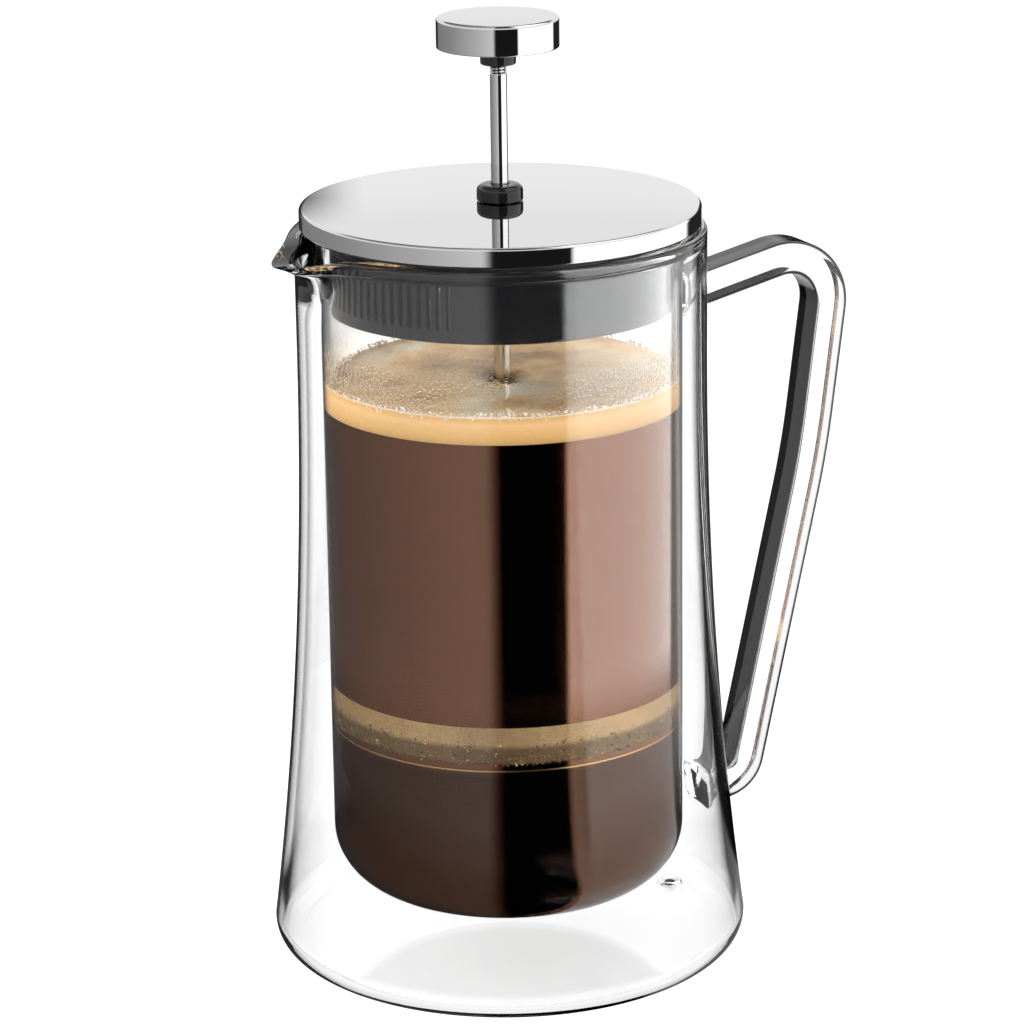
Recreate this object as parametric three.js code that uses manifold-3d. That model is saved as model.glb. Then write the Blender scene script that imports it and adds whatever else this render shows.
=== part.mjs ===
// French press with a double-wall glass carafe, a steel lid with a black strainer
// insert, and a plunger with a mesh filter.
// Units are millimetres, +Z is up, and the origin is the centre of the base on the table.
// The spout points along -X and the handle along +X.
import * as THREE from 'three';
import { mergeVertices } from 'three/addons/utils/BufferGeometryUtils.js';
import Module from 'manifold-3d';

const wasm = await Module();
wasm.setup();

// Clearances
const seatGap = 0.25; // between pieces that rest on each other
const slideGap = 0.4; // between the filter's edge and the glass it slides in
const skirtGap = 0.5; // between the lid's skirt and the glass

// Carafe glass
const boreRadius = 45.3; // inside of the inner vessel
const glassWall = 2.2; // wall of both vessels
const airGap = 4.3; // between the two walls, at the neck
const carafeHeight = 198.4; // top of the glass lip
const flareSpread = 11.3; // how far the outer wall widens towards the table
const flareDrop = 28.4; // from the lip down to where the flare begins
const flarePower = 2.1; // how late the flare opens
const baseCorner = 7;
const floorThickness = 2.5;
const floorAirGap = 15.5; // between the two floors
const vesselCorner = 16; // outer radius of the inner vessel's bottom corner
const lipRound = 1.4;
const lipWeb = 3; // thickness of the glass that joins the two walls at the lip
const seamGap = 0.4; // between the two vessels, where the lip is fused

// Spout, pulled out of the lip towards -X
const spoutReach = 10;
const spoutDrop = 4.2;
const spoutDepth = 12.4; // how far below the lip the outer wall starts to lean out
const channelReach = 14.6; // how far the inner wall is pulled
const channelDepth = 22;
const spoutPinch = 11; // degrees, the half width of the narrow lip
const spoutSpread = 32; // degrees, the half width of the gentle pull around it

// Handle: a flat glass strap fused to the wall at both ends
const strapWidth = 13;
const strapThickness = 9;
const strapRound = 2;
const handleReach = 45.3; // from the neck out to the upper corner
const handleTopDrop = 13.1; // from the lip down to the upper corner
const handleFootHeight = 33.8;
const handleFootReach = 16.9; // from the neck out to the lower corner
const handleTopBend = 13.5;
const handleFootBend = 8;
const handleRootDrop = 23.8; // from the lip down to where the strap leaves the wall
const handleBow = 7.7; // how far the bow's middle lies inside the upper corner
const bowDrop = 72.4; // from the lip down to the bow's middle
const bowBend = 260;
const footSlope = 2; // how far the strap's foot drops on its way in to the wall
const padThickness = 4; // how far the fused ends stand out from the wall
const upperPadDrop = 23.2; // from the lip down to the upper fused end's middle
const lowerPadDrop = 1.4; // from the lower corner down to the lower fused end's middle
const padGrowth = 2.5; // how much wider the fused ends are than the strap

// Vent in the outer floor, closed by a soft plug
const ventRadius = 2;
const ventInset = 5.35; // from the edge of the floor's flat part in to the vent
const ventAngle = 3.5; // degrees from +X

// Lid
const lidInset = 1.5; // the cover's edge inside the glass lip
const coverSheet = 0.8;
const coverRim = 4.9; // rim height up to the bevel's top
const coverDome = 0.8;
const coverBevel = 1;
const domeSteps = [0.35, 0.66]; // where the dome's facets turn, as shares of the cover's radius
const sealFlange = 0.5;
const sealLip = 0.85;
const sealDepth = 2.5; // how far the seal reaches down inside the glass
const skirtWall = 2.2;
const skirtDepth = 20.4; // from the lip down to the skirt's lower edge
const deckThickness = 2.8;
const slotWidth = 1.2;
const slotTopDrop = 4.6; // from the lip down to the top of the strainer slots
const slotFootBand = 3.4; // solid band below the slots
const slotCount = 30; // in each of the two strainer zones
const slotZone = 50; // degrees to each side of the zone's middle

// Bush that guides the rod through the lid
const bushRadius = 6.1;
const bushRise = 4.2;
const shankRadius = 4.25;
const shankBelowDeck = 4.1;
const washerRadius = 8.5;
const washerThickness = 0.8;
const bushNutFlats = 13;
const bushNutHeight = 2.4;

// Rod and knob
const rodRadius = 2.25;
const rodRunningGap = 0.12; // between the rod and the bush
const rodStroke = 31.3; // from the bush up to the knob's collar, as the plunger rests
const threadDepth = 0.25;
const threadPitch = 0.8;
const threadTurnsSeen = 3;
const knobRadius = 16;
const knobHeight = 8;
const knobEdge = 1;
const knobSheet = 0.9;
const knobDome = 0.3;
const collarRadius = 4.75;
const collarHeight = 4.5;
const insertFlats = 7;
const insertHeight = 7.6;

// Filter stack on the rod's lower end
const filterHeight = 64; // underside of the cross plate above the table
const crossSheet = 1;
const crossBead = 0.4;
// Rings of holes in the cross plate: how many, and both radii as shares of the plate's
const crossHoles = [[6, 0.358, 0.112], [12, 0.738, 0.123]];
const meshSheet = 0.6;
const meshHeight = 10.75; // from the mesh's floor up to its upper edge
const springPlateSheet = 0.9;
const springPlateRise = 9.3;
const springTube = 2.1; // half the thickness of the coil around the spring plate
const springPlateStep = 2; // from the hub's flange out to the plate's cone
const hubRadius = 5.5;
const hubFlange = 9;
const hubHeight = 12.3;
const filterNutFlats = 11;
const filterNutHeight = 4.8;

// Heights and radii that follow from the sizes above
const vesselRadius = boreRadius + glassWall;
const neckRadius = vesselRadius + airGap + glassWall;
const seamRadius = vesselRadius + seamGap;
const vesselBottom = floorThickness + floorAirGap;
const vesselFloor = vesselBottom + glassWall + 0.3;
const coverRadius = neckRadius - lidInset;
const flareTop = carafeHeight - flareDrop;
const baseFlatRadius = outerRadius(baseCorner) - baseCorner;
const ventOffset = baseFlatRadius - ventInset;
const sealBottom = carafeHeight + seatGap;
const sealTop = sealBottom + sealFlange;
const rimBottom = sealTop + seatGap;
const rimTop = rimBottom + coverRim;
const skirtRadius = boreRadius - skirtGap;
const skirtBottom = carafeHeight - skirtDepth;
const sealOuter = boreRadius - 0.3;
const sealInner = sealOuter - sealLip;
const grooveRadius = sealInner - seatGap;
const grooveBottom = sealBottom - sealDepth - seatGap;
const rodHole = rodRadius + seatGap;
const shankHole = shankRadius + seatGap;
const bushSeat = coverTop(shankRadius) + seatGap;
const bushTop = bushSeat + bushRise;
const deckTop = coverTop(shankRadius) - coverSheet - seatGap;
const deckUnder = deckTop - deckThickness;
const collarBottom = bushTop + rodStroke;
const knobBottom = collarBottom + collarHeight;
const knobTop = knobBottom + knobHeight;
const meshFloor = filterHeight + crossSheet + seatGap;
const meshRadius = boreRadius - slideGap;
const springFloor = meshFloor + meshSheet + seatGap;
const springPlateRadius = meshRadius - meshSheet - 2 * seatGap - 2 * springTube;
const springPlateHub = hubFlange + springPlateStep;
const filterNutTop = filterHeight - seatGap;
const filterNutBottom = filterNutTop - filterNutHeight;

// Height of the cover's domed top at a distance r from the axis
function coverTop(r) {
  const flatRadius = coverRadius - coverBevel;
  return rimTop + coverDome * (1 - Math.min(1, r / flatRadius) ** 2);
}

// Outer radius of the carafe's outer wall at height z
function outerRadius(z) {
  const t = Math.max(0, 1 - z / flareTop);
  return neckRadius + flareSpread * t ** flarePower;
}

const radians = THREE.MathUtils.degToRad;
const point = (r, z) => new THREE.Vector2(r, z);

// Points of an arc about (r, z), from angle a0 to a1 in degrees
function arc(r, z, radius, a0, a1, steps) {
  return Array.from({ length: steps + 1 }, (_, i) => {
    const a = radians(a0 + ((a1 - a0) * i) / steps);
    return point(r + radius * Math.cos(a), z + radius * Math.sin(a));
  });
}

// Points of a profile r = f(z) at evenly spaced heights
function wallLine(f, z0, z1, steps) {
  return Array.from({ length: steps + 1 }, (_, i) => {
    const z = z0 + ((z1 - z0) * i) / steps;
    return point(f(z), z);
  });
}

const straight = (r) => () => r;

// Keeps only positions, joins shared vertices and drops the triangles that collapse on the axis
function closedMesh(geometry) {
  const bare = geometry.clone();
  for (const name of ['normal', 'uv', 'color']) bare.deleteAttribute(name);
  const merged = mergeVertices(bare, 1e-4);
  const index = merged.index.array;
  const kept = [];
  for (let i = 0; i < index.length; i += 3) {
    const [a, b, c] = [index[i], index[i + 1], index[i + 2]];
    if (a !== b && b !== c && c !== a) kept.push(a, b, c);
  }
  merged.setIndex(kept);
  return merged;
}

// Turns a geometry into a solid that can be joined and cut
function solid(geometry) {
  const mesh = closedMesh(geometry);
  return new wasm.Manifold(new wasm.Mesh({
    numProp: 3,
    vertProperties: new Float32Array(mesh.attributes.position.array),
    triVerts: new Uint32Array(mesh.index.array),
  }));
}

function geometryOf(body) {
  const { vertProperties, triVerts, numProp } = body.getMesh();
  const positions = new Float32Array((vertProperties.length / numProp) * 3);
  for (let i = 0; i < positions.length / 3; i += 1) {
    for (let k = 0; k < 3; k += 1) positions[3 * i + k] = vertProperties[numProp * i + k];
  }
  const geometry = new THREE.BufferGeometry();
  geometry.setAttribute('position', new THREE.BufferAttribute(positions, 3));
  geometry.setIndex(Array.from(triVerts));
  return geometry;
}

// Revolves a profile of (r, z) points about +Z. A ring's profile is closed by its first point.
function revolve(profile, segments, ring = false) {
  const points = ring ? [...profile, profile[0].clone()] : profile;
  return new THREE.LatheGeometry(points, segments).rotateX(Math.PI / 2);
}

// Upright prism with a round hole, from z0 to z1. Six sides make a nut's hexagon.
function nut(flats, hole, z0, z1) {
  const corner = flats / 2 / Math.cos(Math.PI / 6);
  const shape = new THREE.Shape();
  for (let i = 0; i < 6; i += 1) {
    const a = (i * Math.PI) / 3;
    const corners = [corner * Math.cos(a), corner * Math.sin(a)];
    if (i === 0) shape.moveTo(...corners);
    else shape.lineTo(...corners);
  }
  shape.closePath();
  const bore = new THREE.Path();
  bore.absarc(0, 0, hole, 0, 2 * Math.PI, true);
  shape.holes.push(bore);
  const settings = { depth: z1 - z0, bevelEnabled: false, curveSegments: 8 };
  return new THREE.ExtrudeGeometry(shape, settings).translate(0, 0, z0);
}

function pegAt(x, y, radius, z0, z1, sides) {
  return new THREE.CylinderGeometry(radius, radius, z1 - z0, sides)
    .rotateX(Math.PI / 2).translate(x, y, (z0 + z1) / 2);
}

// Crowds a revolved wall's segments towards -X, where the spout needs them
function crowdTowardsSpout(geometry) {
  const crowding = 0.45;
  const p = geometry.attributes.position;
  for (let i = 0; i < p.count; i += 1) {
    const r = Math.hypot(p.getX(i), p.getY(i));
    const a = Math.atan2(p.getY(i), p.getX(i));
    const crowded = a + crowding * Math.sin(a);
    p.setXY(i, r * Math.cos(crowded), r * Math.sin(crowded));
  }
  return geometry;
}

// Pulls the rim of both vessels outwards and down around -X.
// The inner wall is pulled from deeper down and further than the outer one, and the glass
// between them moves in proportion, so that the two vessels keep clear of each other.
function pullSpout(geometry) {
  const risen = (z, depth) => Math.max(0, 1 - (carafeHeight - z) / depth);
  const p = geometry.attributes.position;
  for (let i = 0; i < p.count; i += 1) {
    const [x, y, z] = [p.getX(i), p.getY(i), p.getZ(i)];
    const r = Math.hypot(x, y);
    if (risen(z, channelDepth) === 0 || r < boreRadius / 2) continue;
    const off = THREE.MathUtils.radToDeg(Math.atan2(y, -x));
    const weight = 0.7 * Math.exp(-((off / spoutPinch) ** 2))
      + 0.3 * Math.exp(-((off / spoutSpread) ** 2));
    const outward = THREE.MathUtils.clamp((r - seamRadius) / (neckRadius - seamRadius), 0, 1);
    const channel = channelReach * risen(z, channelDepth) ** 3;
    const spout = spoutReach * risen(z, spoutDepth) ** 1.5;
    const grown = 1 + (weight * THREE.MathUtils.lerp(channel, spout, outward)) / r;
    p.setXYZ(i, x * grown, y * grown, z - spoutDrop * weight * risen(z, spoutDepth) ** 2);
  }
  return geometry;
}

const glassSegments = 44;
const lipSteps = 3; // rows of facets that both vessels have along their seam

// Outer vessel: flared wall, flat floor with a vent hole, and the web that turns in at the lip
function outerVessel() {
  const innerRadius = (z) => outerRadius(z) - glassWall;
  const innerCorner = baseCorner - glassWall;
  const webBottom = carafeHeight - lipWeb;
  const spoutStart = carafeHeight - spoutDepth;
  const wallStart = baseCorner + 11;
  const profile = [
    point(0, 0),
    ...arc(baseFlatRadius, baseCorner, baseCorner, -90, 0, 4),
    ...wallLine(outerRadius, wallStart, flareTop, 6),
    ...wallLine(outerRadius, spoutStart, carafeHeight - lipRound, 3),
    ...arc(neckRadius - lipRound, carafeHeight - lipRound, lipRound, 45, 90, 1),
    ...wallLine(straight(seamRadius), carafeHeight, webBottom, lipSteps),
    point(neckRadius - glassWall - 0.8, webBottom),
    point(neckRadius - glassWall, webBottom - 0.8),
    ...wallLine(innerRadius, spoutStart, flareTop, 1),
    ...wallLine(innerRadius, 0.7 * flareTop, wallStart, 4),
    ...arc(innerRadius(baseCorner) - innerCorner, floorThickness + innerCorner, innerCorner, 0, -90, 3),
    point(0, floorThickness),
  ];
  const wall = crowdTowardsSpout(revolve(profile, glassSegments));
  const pulled = pullSpout(wall);
  const [x, y] = ventPlace();
  const hole = pegAt(x, y, ventRadius, -1, floorThickness + 1, 12);
  return geometryOf(solid(pulled).subtract(solid(hole)));
}

function ventPlace() {
  return [ventOffset * Math.cos(radians(ventAngle)), ventOffset * Math.sin(radians(ventAngle))];
}

// Inner vessel: straight brewing cylinder with a rounded bottom, pulled into the spout's channel
function innerVessel() {
  const channelStart = carafeHeight - channelDepth;
  const boreCorner = vesselCorner - glassWall;
  const profile = [
    point(0, vesselBottom),
    ...arc(vesselRadius - vesselCorner, vesselBottom + vesselCorner, vesselCorner, -90, 0, 4),
    ...wallLine(straight(vesselRadius), channelStart, carafeHeight - lipWeb, 4).slice(0, -1),
    ...wallLine(straight(vesselRadius), carafeHeight - lipWeb, carafeHeight, lipSteps),
    point(boreRadius + 0.9, carafeHeight),
    ...wallLine(straight(boreRadius), carafeHeight - 0.9, channelStart, 5),
    ...arc(boreRadius - boreCorner, vesselFloor + boreCorner, boreCorner, 0, -90, 4),
    point(0, vesselFloor),
  ];
  const wall = crowdTowardsSpout(revolve(profile, glassSegments));
  return closedMesh(pullSpout(wall));
}

// Path through corner points in the XZ plane, each corner rounded by its own radius
function roundedPath(corners) {
  const path = new THREE.CurvePath();
  const at = corners.map(([x, z]) => new THREE.Vector3(x, 0, z));
  let from = at[0];
  for (let i = 1; i < at.length - 1; i += 1) {
    const before = at[i - 1].clone().sub(at[i]).normalize();
    const after = at[i + 1].clone().sub(at[i]).normalize();
    const half = before.angleTo(after) / 2;
    const cut = corners[i][2] / Math.tan(half);
    const start = at[i].clone().addScaledVector(before, cut);
    const end = at[i].clone().addScaledVector(after, cut);
    const handle = (4 / 3) * Math.tan((Math.PI / 2 - half) / 2) * corners[i][2];
    path.add(new THREE.LineCurve3(from, start));
    path.add(new THREE.CubicBezierCurve3(
      start,
      start.clone().addScaledVector(before, -handle),
      end.clone().addScaledVector(after, -handle),
      end,
    ));
    from = end;
  }
  path.add(new THREE.LineCurve3(from, at[at.length - 1]));
  return path;
}

function strapSection() {
  const [w, t, r] = [strapWidth / 2, strapThickness / 2, strapRound];
  const shape = new THREE.Shape();
  shape.moveTo(w, -t + r);
  for (const [x, y, a] of [[w - r, t - r, 0], [r - w, t - r, 90], [r - w, r - t, 180], [w - r, r - t, 270]]) {
    shape.absarc(x, y, r, radians(a), radians(a + 90), false);
  }
  return shape;
}

// Handle: the strap and its two fused pads, cut to the carafe's wall
function glassHandle() {
  const corners = [
    [neckRadius - glassWall, carafeHeight - handleRootDrop],
    [neckRadius + handleReach, carafeHeight - handleTopDrop, handleTopBend],
    [neckRadius + handleReach - handleBow, carafeHeight - bowDrop, bowBend],
    [neckRadius + handleFootReach, handleFootHeight, handleFootBend],
    [neckRadius, handleFootHeight - footSlope],
  ];
  const settings = { steps: 34, extrudePath: roundedPath(corners), bevelEnabled: false, curveSegments: 2 };
  let body = solid(new THREE.ExtrudeGeometry(strapSection(), settings));
  for (const z of [carafeHeight - upperPadDrop, handleFootHeight - lowerPadDrop]) {
    const pad = new THREE.SphereGeometry(1, 14, 10)
      .scale(padThickness, (strapWidth + padGrowth) / 2, (strapThickness + padGrowth) / 2)
      .translate(outerRadius(z) + seatGap, 0, z);
    body = body.add(solid(pad));
  }
  const clearOfWall = (z) => outerRadius(z) + seatGap;
  const wall = revolve([
    point(0, 0),
    ...wallLine(clearOfWall, 0, flareTop, 10),
    point(neckRadius + seatGap, carafeHeight),
    point(0, carafeHeight),
  ], 72);
  return geometryOf(body.subtract(solid(wall)));
}

function ventPlug() {
  const [x, y] = ventPlace();
  const radius = ventRadius - seatGap;
  return closedMesh(pegAt(x, y, radius, 0.4, floorThickness + 0.7, 12));
}

// Seal: a flange on the glass lip with a lip of its own that reaches down inside the glass
function lidSeal() {
  const flangeRadius = coverRadius - coverSheet - seatGap;
  return closedMesh(revolve([
    point(sealInner, sealBottom - sealDepth),
    point(sealOuter, sealBottom - sealDepth),
    point(sealOuter, sealBottom),
    point(flangeRadius, sealBottom),
    point(flangeRadius, sealTop),
    point(sealInner, sealTop),
  ], 40, true));
}

// Cover: pressed steel disc with a low dome, a bevelled edge and a turned-down rim
function lidCover() {
  const rimInside = coverRadius - coverSheet;
  const dome = [shankHole, ...domeSteps.map((s) => s * coverRadius), coverRadius - coverBevel];
  const under = dome.slice(0, 3).map((r) => point(r, coverTop(r) - coverSheet));
  const over = dome.slice().reverse().map((r) => point(r, coverTop(r)));
  return closedMesh(revolve([
    ...under,
    point(rimInside - 0.9, rimTop - coverSheet),
    point(rimInside, rimTop - coverSheet - 0.9),
    point(rimInside, rimBottom),
    point(coverRadius, rimBottom),
    point(coverRadius, rimTop - coverBevel),
    ...over,
  ], 48, true));
}

// Insert: a deck under the cover, a flange over the lip and a skirt with two strainer zones
function lidInsert() {
  const flangeRadius = coverRadius - coverSheet - seatGap;
  const skirtInside = skirtRadius - skirtWall;
  const deckAt = (r) => coverTop(r) - coverSheet - seatGap;
  let body = solid(revolve([
    point(shankHole, deckUnder),
    point(skirtInside, deckUnder),
    point(skirtInside, skirtBottom),
    point(skirtRadius, skirtBottom),
    point(skirtRadius, grooveBottom),
    point(grooveRadius, grooveBottom),
    point(grooveRadius, rimBottom),
    point(flangeRadius, rimBottom),
    point(flangeRadius, rimTop - coverSheet - seatGap - 1.2),
    point(flangeRadius - 1.2, rimTop - coverSheet - seatGap),
    ...[...domeSteps].reverse().map((s) => point(s * coverRadius, deckAt(s * coverRadius))),
    point(shankHole, deckAt(shankHole)),
  ], 44, true));
  const slotTop = carafeHeight - slotTopDrop;
  const slotBottom = skirtBottom + slotFootBand;
  const slot = new THREE.BoxGeometry(skirtWall * 3, slotWidth, slotTop - slotBottom)
    .translate(skirtRadius - skirtWall / 2, 0, (slotTop + slotBottom) / 2);
  const slots = [];
  for (const middle of [0, 180]) {
    for (let i = 0; i < slotCount; i += 1) {
      const angle = middle - slotZone + (2 * slotZone * (i + 0.5)) / slotCount;
      slots.push(solid(slot.clone().rotateZ(radians(angle))));
    }
  }
  for (const cut of slots) body = body.subtract(cut);
  return geometryOf(body);
}

// Bush: a rounded head on the cover and a shank down through the deck
function lidBush() {
  const hole = rodRadius + rodRunningGap;
  const crown = 1.7;
  return closedMesh(revolve([
    point(hole, deckUnder - shankBelowDeck),
    point(shankRadius, deckUnder - shankBelowDeck),
    point(shankRadius, bushSeat),
    point(bushRadius - 0.4, bushSeat),
    point(bushRadius, bushSeat + 0.5),
    ...arc(bushRadius - crown, bushTop - crown, crown, 0, 90, 3),
    point(hole, bushTop),
  ], 24, true));
}

function bushWasher() {
  const top = deckUnder - seatGap;
  const bottom = top - washerThickness;
  return closedMesh(revolve([
    point(shankHole, bottom), point(washerRadius, bottom), point(washerRadius, top), point(shankHole, top),
  ], 24, true));
}

function bushNut() {
  const top = deckUnder - 2 * seatGap - washerThickness;
  return closedMesh(nut(bushNutFlats, shankHole, top - bushNutHeight, top));
}

// Rod: plain shaft with a few thread ridges under the knob and thinner threaded ends
function plungerRod() {
  const root = rodRadius - threadDepth;
  const seenBottom = collarBottom - threadPitch * threadTurnsSeen;
  const ridges = [];
  for (let i = 0; i < threadTurnsSeen; i += 1) {
    const z = seenBottom + threadPitch * i;
    ridges.push(point(root, z + 0.15 * threadPitch), point(rodRadius, z + 0.5 * threadPitch));
  }
  return closedMesh(revolve([
    point(0, filterNutBottom + 0.4),
    point(root, filterNutBottom + 0.4),
    point(root, springFloor),
    point(rodRadius, springFloor + threadDepth),
    point(rodRadius, seenBottom),
    ...ridges,
    point(root, collarBottom),
    point(root, knobTop - knobSheet - 3 * seatGap),
    point(0, knobTop - knobSheet - 3 * seatGap),
  ], 16));
}

// Knob cap: a pressed steel cup over the knob's core
function knobCap() {
  const inside = knobRadius - knobSheet;
  return closedMesh(revolve([
    point(0, knobTop - knobSheet),
    point(inside - knobEdge, knobTop - knobSheet),
    point(inside, knobTop - knobSheet - knobEdge),
    point(inside, knobBottom),
    ...arc(knobRadius - knobEdge / 2, knobBottom + knobEdge / 2, knobEdge / 2, -90, 0, 1),
    ...arc(knobRadius - knobEdge, knobTop - knobEdge, knobEdge, 0, 90, 2),
    point(0, knobTop + knobDome),
  ], 40));
}

// Knob core: black moulding with a collar below and a pocket for the threaded insert
function knobCore() {
  const radius = knobRadius - knobSheet - seatGap;
  const top = knobTop - knobSheet - seatGap;
  const pocket = insertFlats / 2 / Math.cos(Math.PI / 6) + seatGap;
  const pocketFloor = top - insertHeight - 2 * seatGap;
  return closedMesh(revolve([
    point(rodHole, collarBottom),
    point(collarRadius - 0.6, collarBottom),
    point(collarRadius - 0.1, collarBottom + 0.5),
    point(collarRadius, knobBottom + seatGap),
    point(radius, knobBottom + seatGap),
    point(radius, top - knobEdge),
    point(radius - knobEdge, top),
    point(pocket, top),
    point(pocket, pocketFloor),
    point(rodHole, pocketFloor),
  ], 28, true));
}

function knobInsert() {
  const top = knobTop - knobSheet - 2 * seatGap;
  return closedMesh(nut(insertFlats, rodHole, top - insertHeight, top));
}

// Hub: flanged sleeve that clamps the filter stack against the nut below
function filterHub() {
  const bottom = springFloor + springPlateSheet + seatGap;
  return closedMesh(revolve([
    point(rodHole, bottom),
    point(hubFlange, bottom),
    point(hubFlange, bottom + 1.2),
    point(hubRadius, bottom + 2),
    point(hubRadius, bottom + hubHeight - 1),
    point(hubRadius - 1, bottom + hubHeight),
    point(rodHole, bottom + hubHeight),
  ], 20, true));
}

// Spring plate: dished sheet whose flange carries the edge spring
function springPlate() {
  const s = springPlateSheet;
  const [low, high] = [springFloor, springFloor + springPlateRise];
  const cone = springPlateHub + 5.2;
  let body = solid(revolve([
    point(rodHole, low),
    point(springPlateHub + 0.6, low),
    point(cone + 0.6, high - s),
    point(springPlateRadius - s, high - s),
    point(springPlateRadius - s, low + 1),
    point(springPlateRadius, low + 1),
    point(springPlateRadius, high - 0.7),
    point(springPlateRadius - 0.7, high),
    point(cone, high),
    point(springPlateHub, low + s),
    point(rodHole, low + s),
  ], 36, true));
  const holes = 8;
  const holeRadius = 5;
  const pitchRadius = (cone + springPlateRadius) / 2;
  for (let i = 0; i < holes; i += 1) {
    const a = (2 * Math.PI * (i + 0.5)) / holes;
    const [x, y] = [pitchRadius * Math.cos(a), pitchRadius * Math.sin(a)];
    body = body.subtract(solid(pegAt(x, y, holeRadius, low, high + 1, 12)));
  }
  return geometryOf(body);
}

// Edge spring: the outer shape of the coil that presses the mesh against the glass
function edgeSpring() {
  const inner = springPlateRadius + seatGap;
  const outer = meshRadius - meshSheet - seatGap;
  const tube = (outer - inner) / 2;
  const z = springFloor + springPlateRise / 2;
  const ring = arc(inner + tube, z, tube, 0, 315, 7);
  return closedMesh(revolve(ring, 40, true));
}

// Mesh screen: a disc of woven wire turned up all round against the glass
function meshScreen() {
  const s = meshSheet;
  const turn = 0.9;
  return closedMesh(revolve([
    point(rodHole, meshFloor),
    point(meshRadius - turn, meshFloor),
    point(meshRadius, meshFloor + turn),
    point(meshRadius, meshFloor + meshHeight),
    point(meshRadius - s, meshFloor + meshHeight),
    point(meshRadius - s, meshFloor + turn + s / 2),
    point(meshRadius - turn - s / 2, meshFloor + s),
    point(rodHole, meshFloor + s),
  ], 48, true));
}

// Cross plate: perforated disc with a rolled bead, the bottom of the filter
function crossPlate() {
  const [low, high] = [filterHeight, filterHeight + crossSheet];
  const edge = meshRadius - 0.2;
  let body = solid(revolve([
    point(rodHole, low),
    point(edge - 1.7, low),
    point(edge - 1.3, low - crossBead),
    point(edge - 0.4, low - crossBead),
    point(edge, low),
    point(edge, high),
    point(rodHole, high),
  ], 40, true));
  for (const [count, ringShare, holeShare] of crossHoles) {
    for (let i = 0; i < count; i += 1) {
      const a = (2 * Math.PI * i) / count;
      const [x, y] = [edge * ringShare * Math.cos(a), edge * ringShare * Math.sin(a)];
      body = body.subtract(solid(pegAt(x, y, edge * holeShare, low - 1, high + 1, 8)));
    }
  }
  return geometryOf(body);
}

function filterNut() {
  return closedMesh(nut(filterNutFlats, rodHole, filterNutBottom, filterNutTop));
}

const clearGlass = { color: 0xeef2f4, roughness: 0.03, metalness: 0, opacity: 0.3, transparent: true };
const polishedSteel = { color: 0xd6d6da, roughness: 0.12, metalness: 1 };
const blackPlastic = { color: 0x17171a, roughness: 0.25, metalness: 0 };
const blackRubber = { color: 0x202022, roughness: 0.6, metalness: 0 };
const brass = { color: 0xb8924a, roughness: 0.35, metalness: 1 };
const wireMesh = { color: 0xb09a72, roughness: 0.4, metalness: 1 };

const parts = [
  ['outer_vessel', outerVessel, clearGlass],
  ['inner_vessel', innerVessel, clearGlass],
  ['glass_handle', glassHandle, clearGlass],
  ['vent_plug', ventPlug, blackRubber],
  ['lid_seal', lidSeal, blackRubber],
  ['lid_cover', lidCover, polishedSteel],
  ['lid_insert', lidInsert, blackPlastic],
  ['lid_bush', lidBush, blackPlastic],
  ['bush_washer', bushWasher, polishedSteel],
  ['bush_nut', bushNut, polishedSteel],
  ['knob_cap', knobCap, polishedSteel],
  ['knob_core', knobCore, blackPlastic],
  ['knob_insert', knobInsert, brass],
  ['plunger_rod', plungerRod, polishedSteel],
  ['filter_hub', filterHub, polishedSteel],
  ['spring_plate', springPlate, polishedSteel],
  ['edge_spring', edgeSpring, polishedSteel],
  ['mesh_screen', meshScreen, wireMesh],
  ['cross_plate', crossPlate, polishedSteel],
  ['filter_nut', filterNut, polishedSteel],
];

const frenchPress = new THREE.Group();
frenchPress.name = 'french_press';
for (const [name, make, look] of parts) {
  const mesh = new THREE.Mesh(make(), new THREE.MeshStandardMaterial(look));
  mesh.name = name;
  frenchPress.add(mesh);
}

export default frenchPress;
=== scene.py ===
import math

import bpy
import numpy as np
from mathutils import Matrix, Vector


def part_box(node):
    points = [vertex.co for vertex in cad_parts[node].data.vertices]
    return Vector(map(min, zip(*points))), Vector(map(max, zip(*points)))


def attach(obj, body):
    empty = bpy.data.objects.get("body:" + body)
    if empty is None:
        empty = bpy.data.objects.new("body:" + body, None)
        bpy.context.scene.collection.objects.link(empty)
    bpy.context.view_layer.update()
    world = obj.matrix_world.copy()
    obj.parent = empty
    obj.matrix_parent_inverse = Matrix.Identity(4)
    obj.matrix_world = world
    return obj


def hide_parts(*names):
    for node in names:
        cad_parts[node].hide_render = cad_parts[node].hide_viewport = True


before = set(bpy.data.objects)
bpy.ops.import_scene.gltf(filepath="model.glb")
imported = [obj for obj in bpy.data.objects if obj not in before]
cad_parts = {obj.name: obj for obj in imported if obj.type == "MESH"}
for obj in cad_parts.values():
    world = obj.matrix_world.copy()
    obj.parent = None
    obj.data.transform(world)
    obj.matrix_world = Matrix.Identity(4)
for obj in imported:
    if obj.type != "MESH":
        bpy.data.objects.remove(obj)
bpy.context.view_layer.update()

bl_info = {
    "name": "French press",
    "version": (1, 0, 0),
    "blender": (4, 5, 0),
    "location": "3D View > Sidebar > French press",
    "description": "Builds the surfaces and materials of a double-wall glass french press",
    "category": "Add Mesh",
}

MM = 0.001


def low(node, axis):
    """Lowest coordinate of a CAD node along an axis, in millimetres"""
    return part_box(node)[0][axis] / MM


def high(node, axis):
    """Highest coordinate of a CAD node along an axis, in millimetres"""
    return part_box(node)[1][axis] / MM


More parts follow.
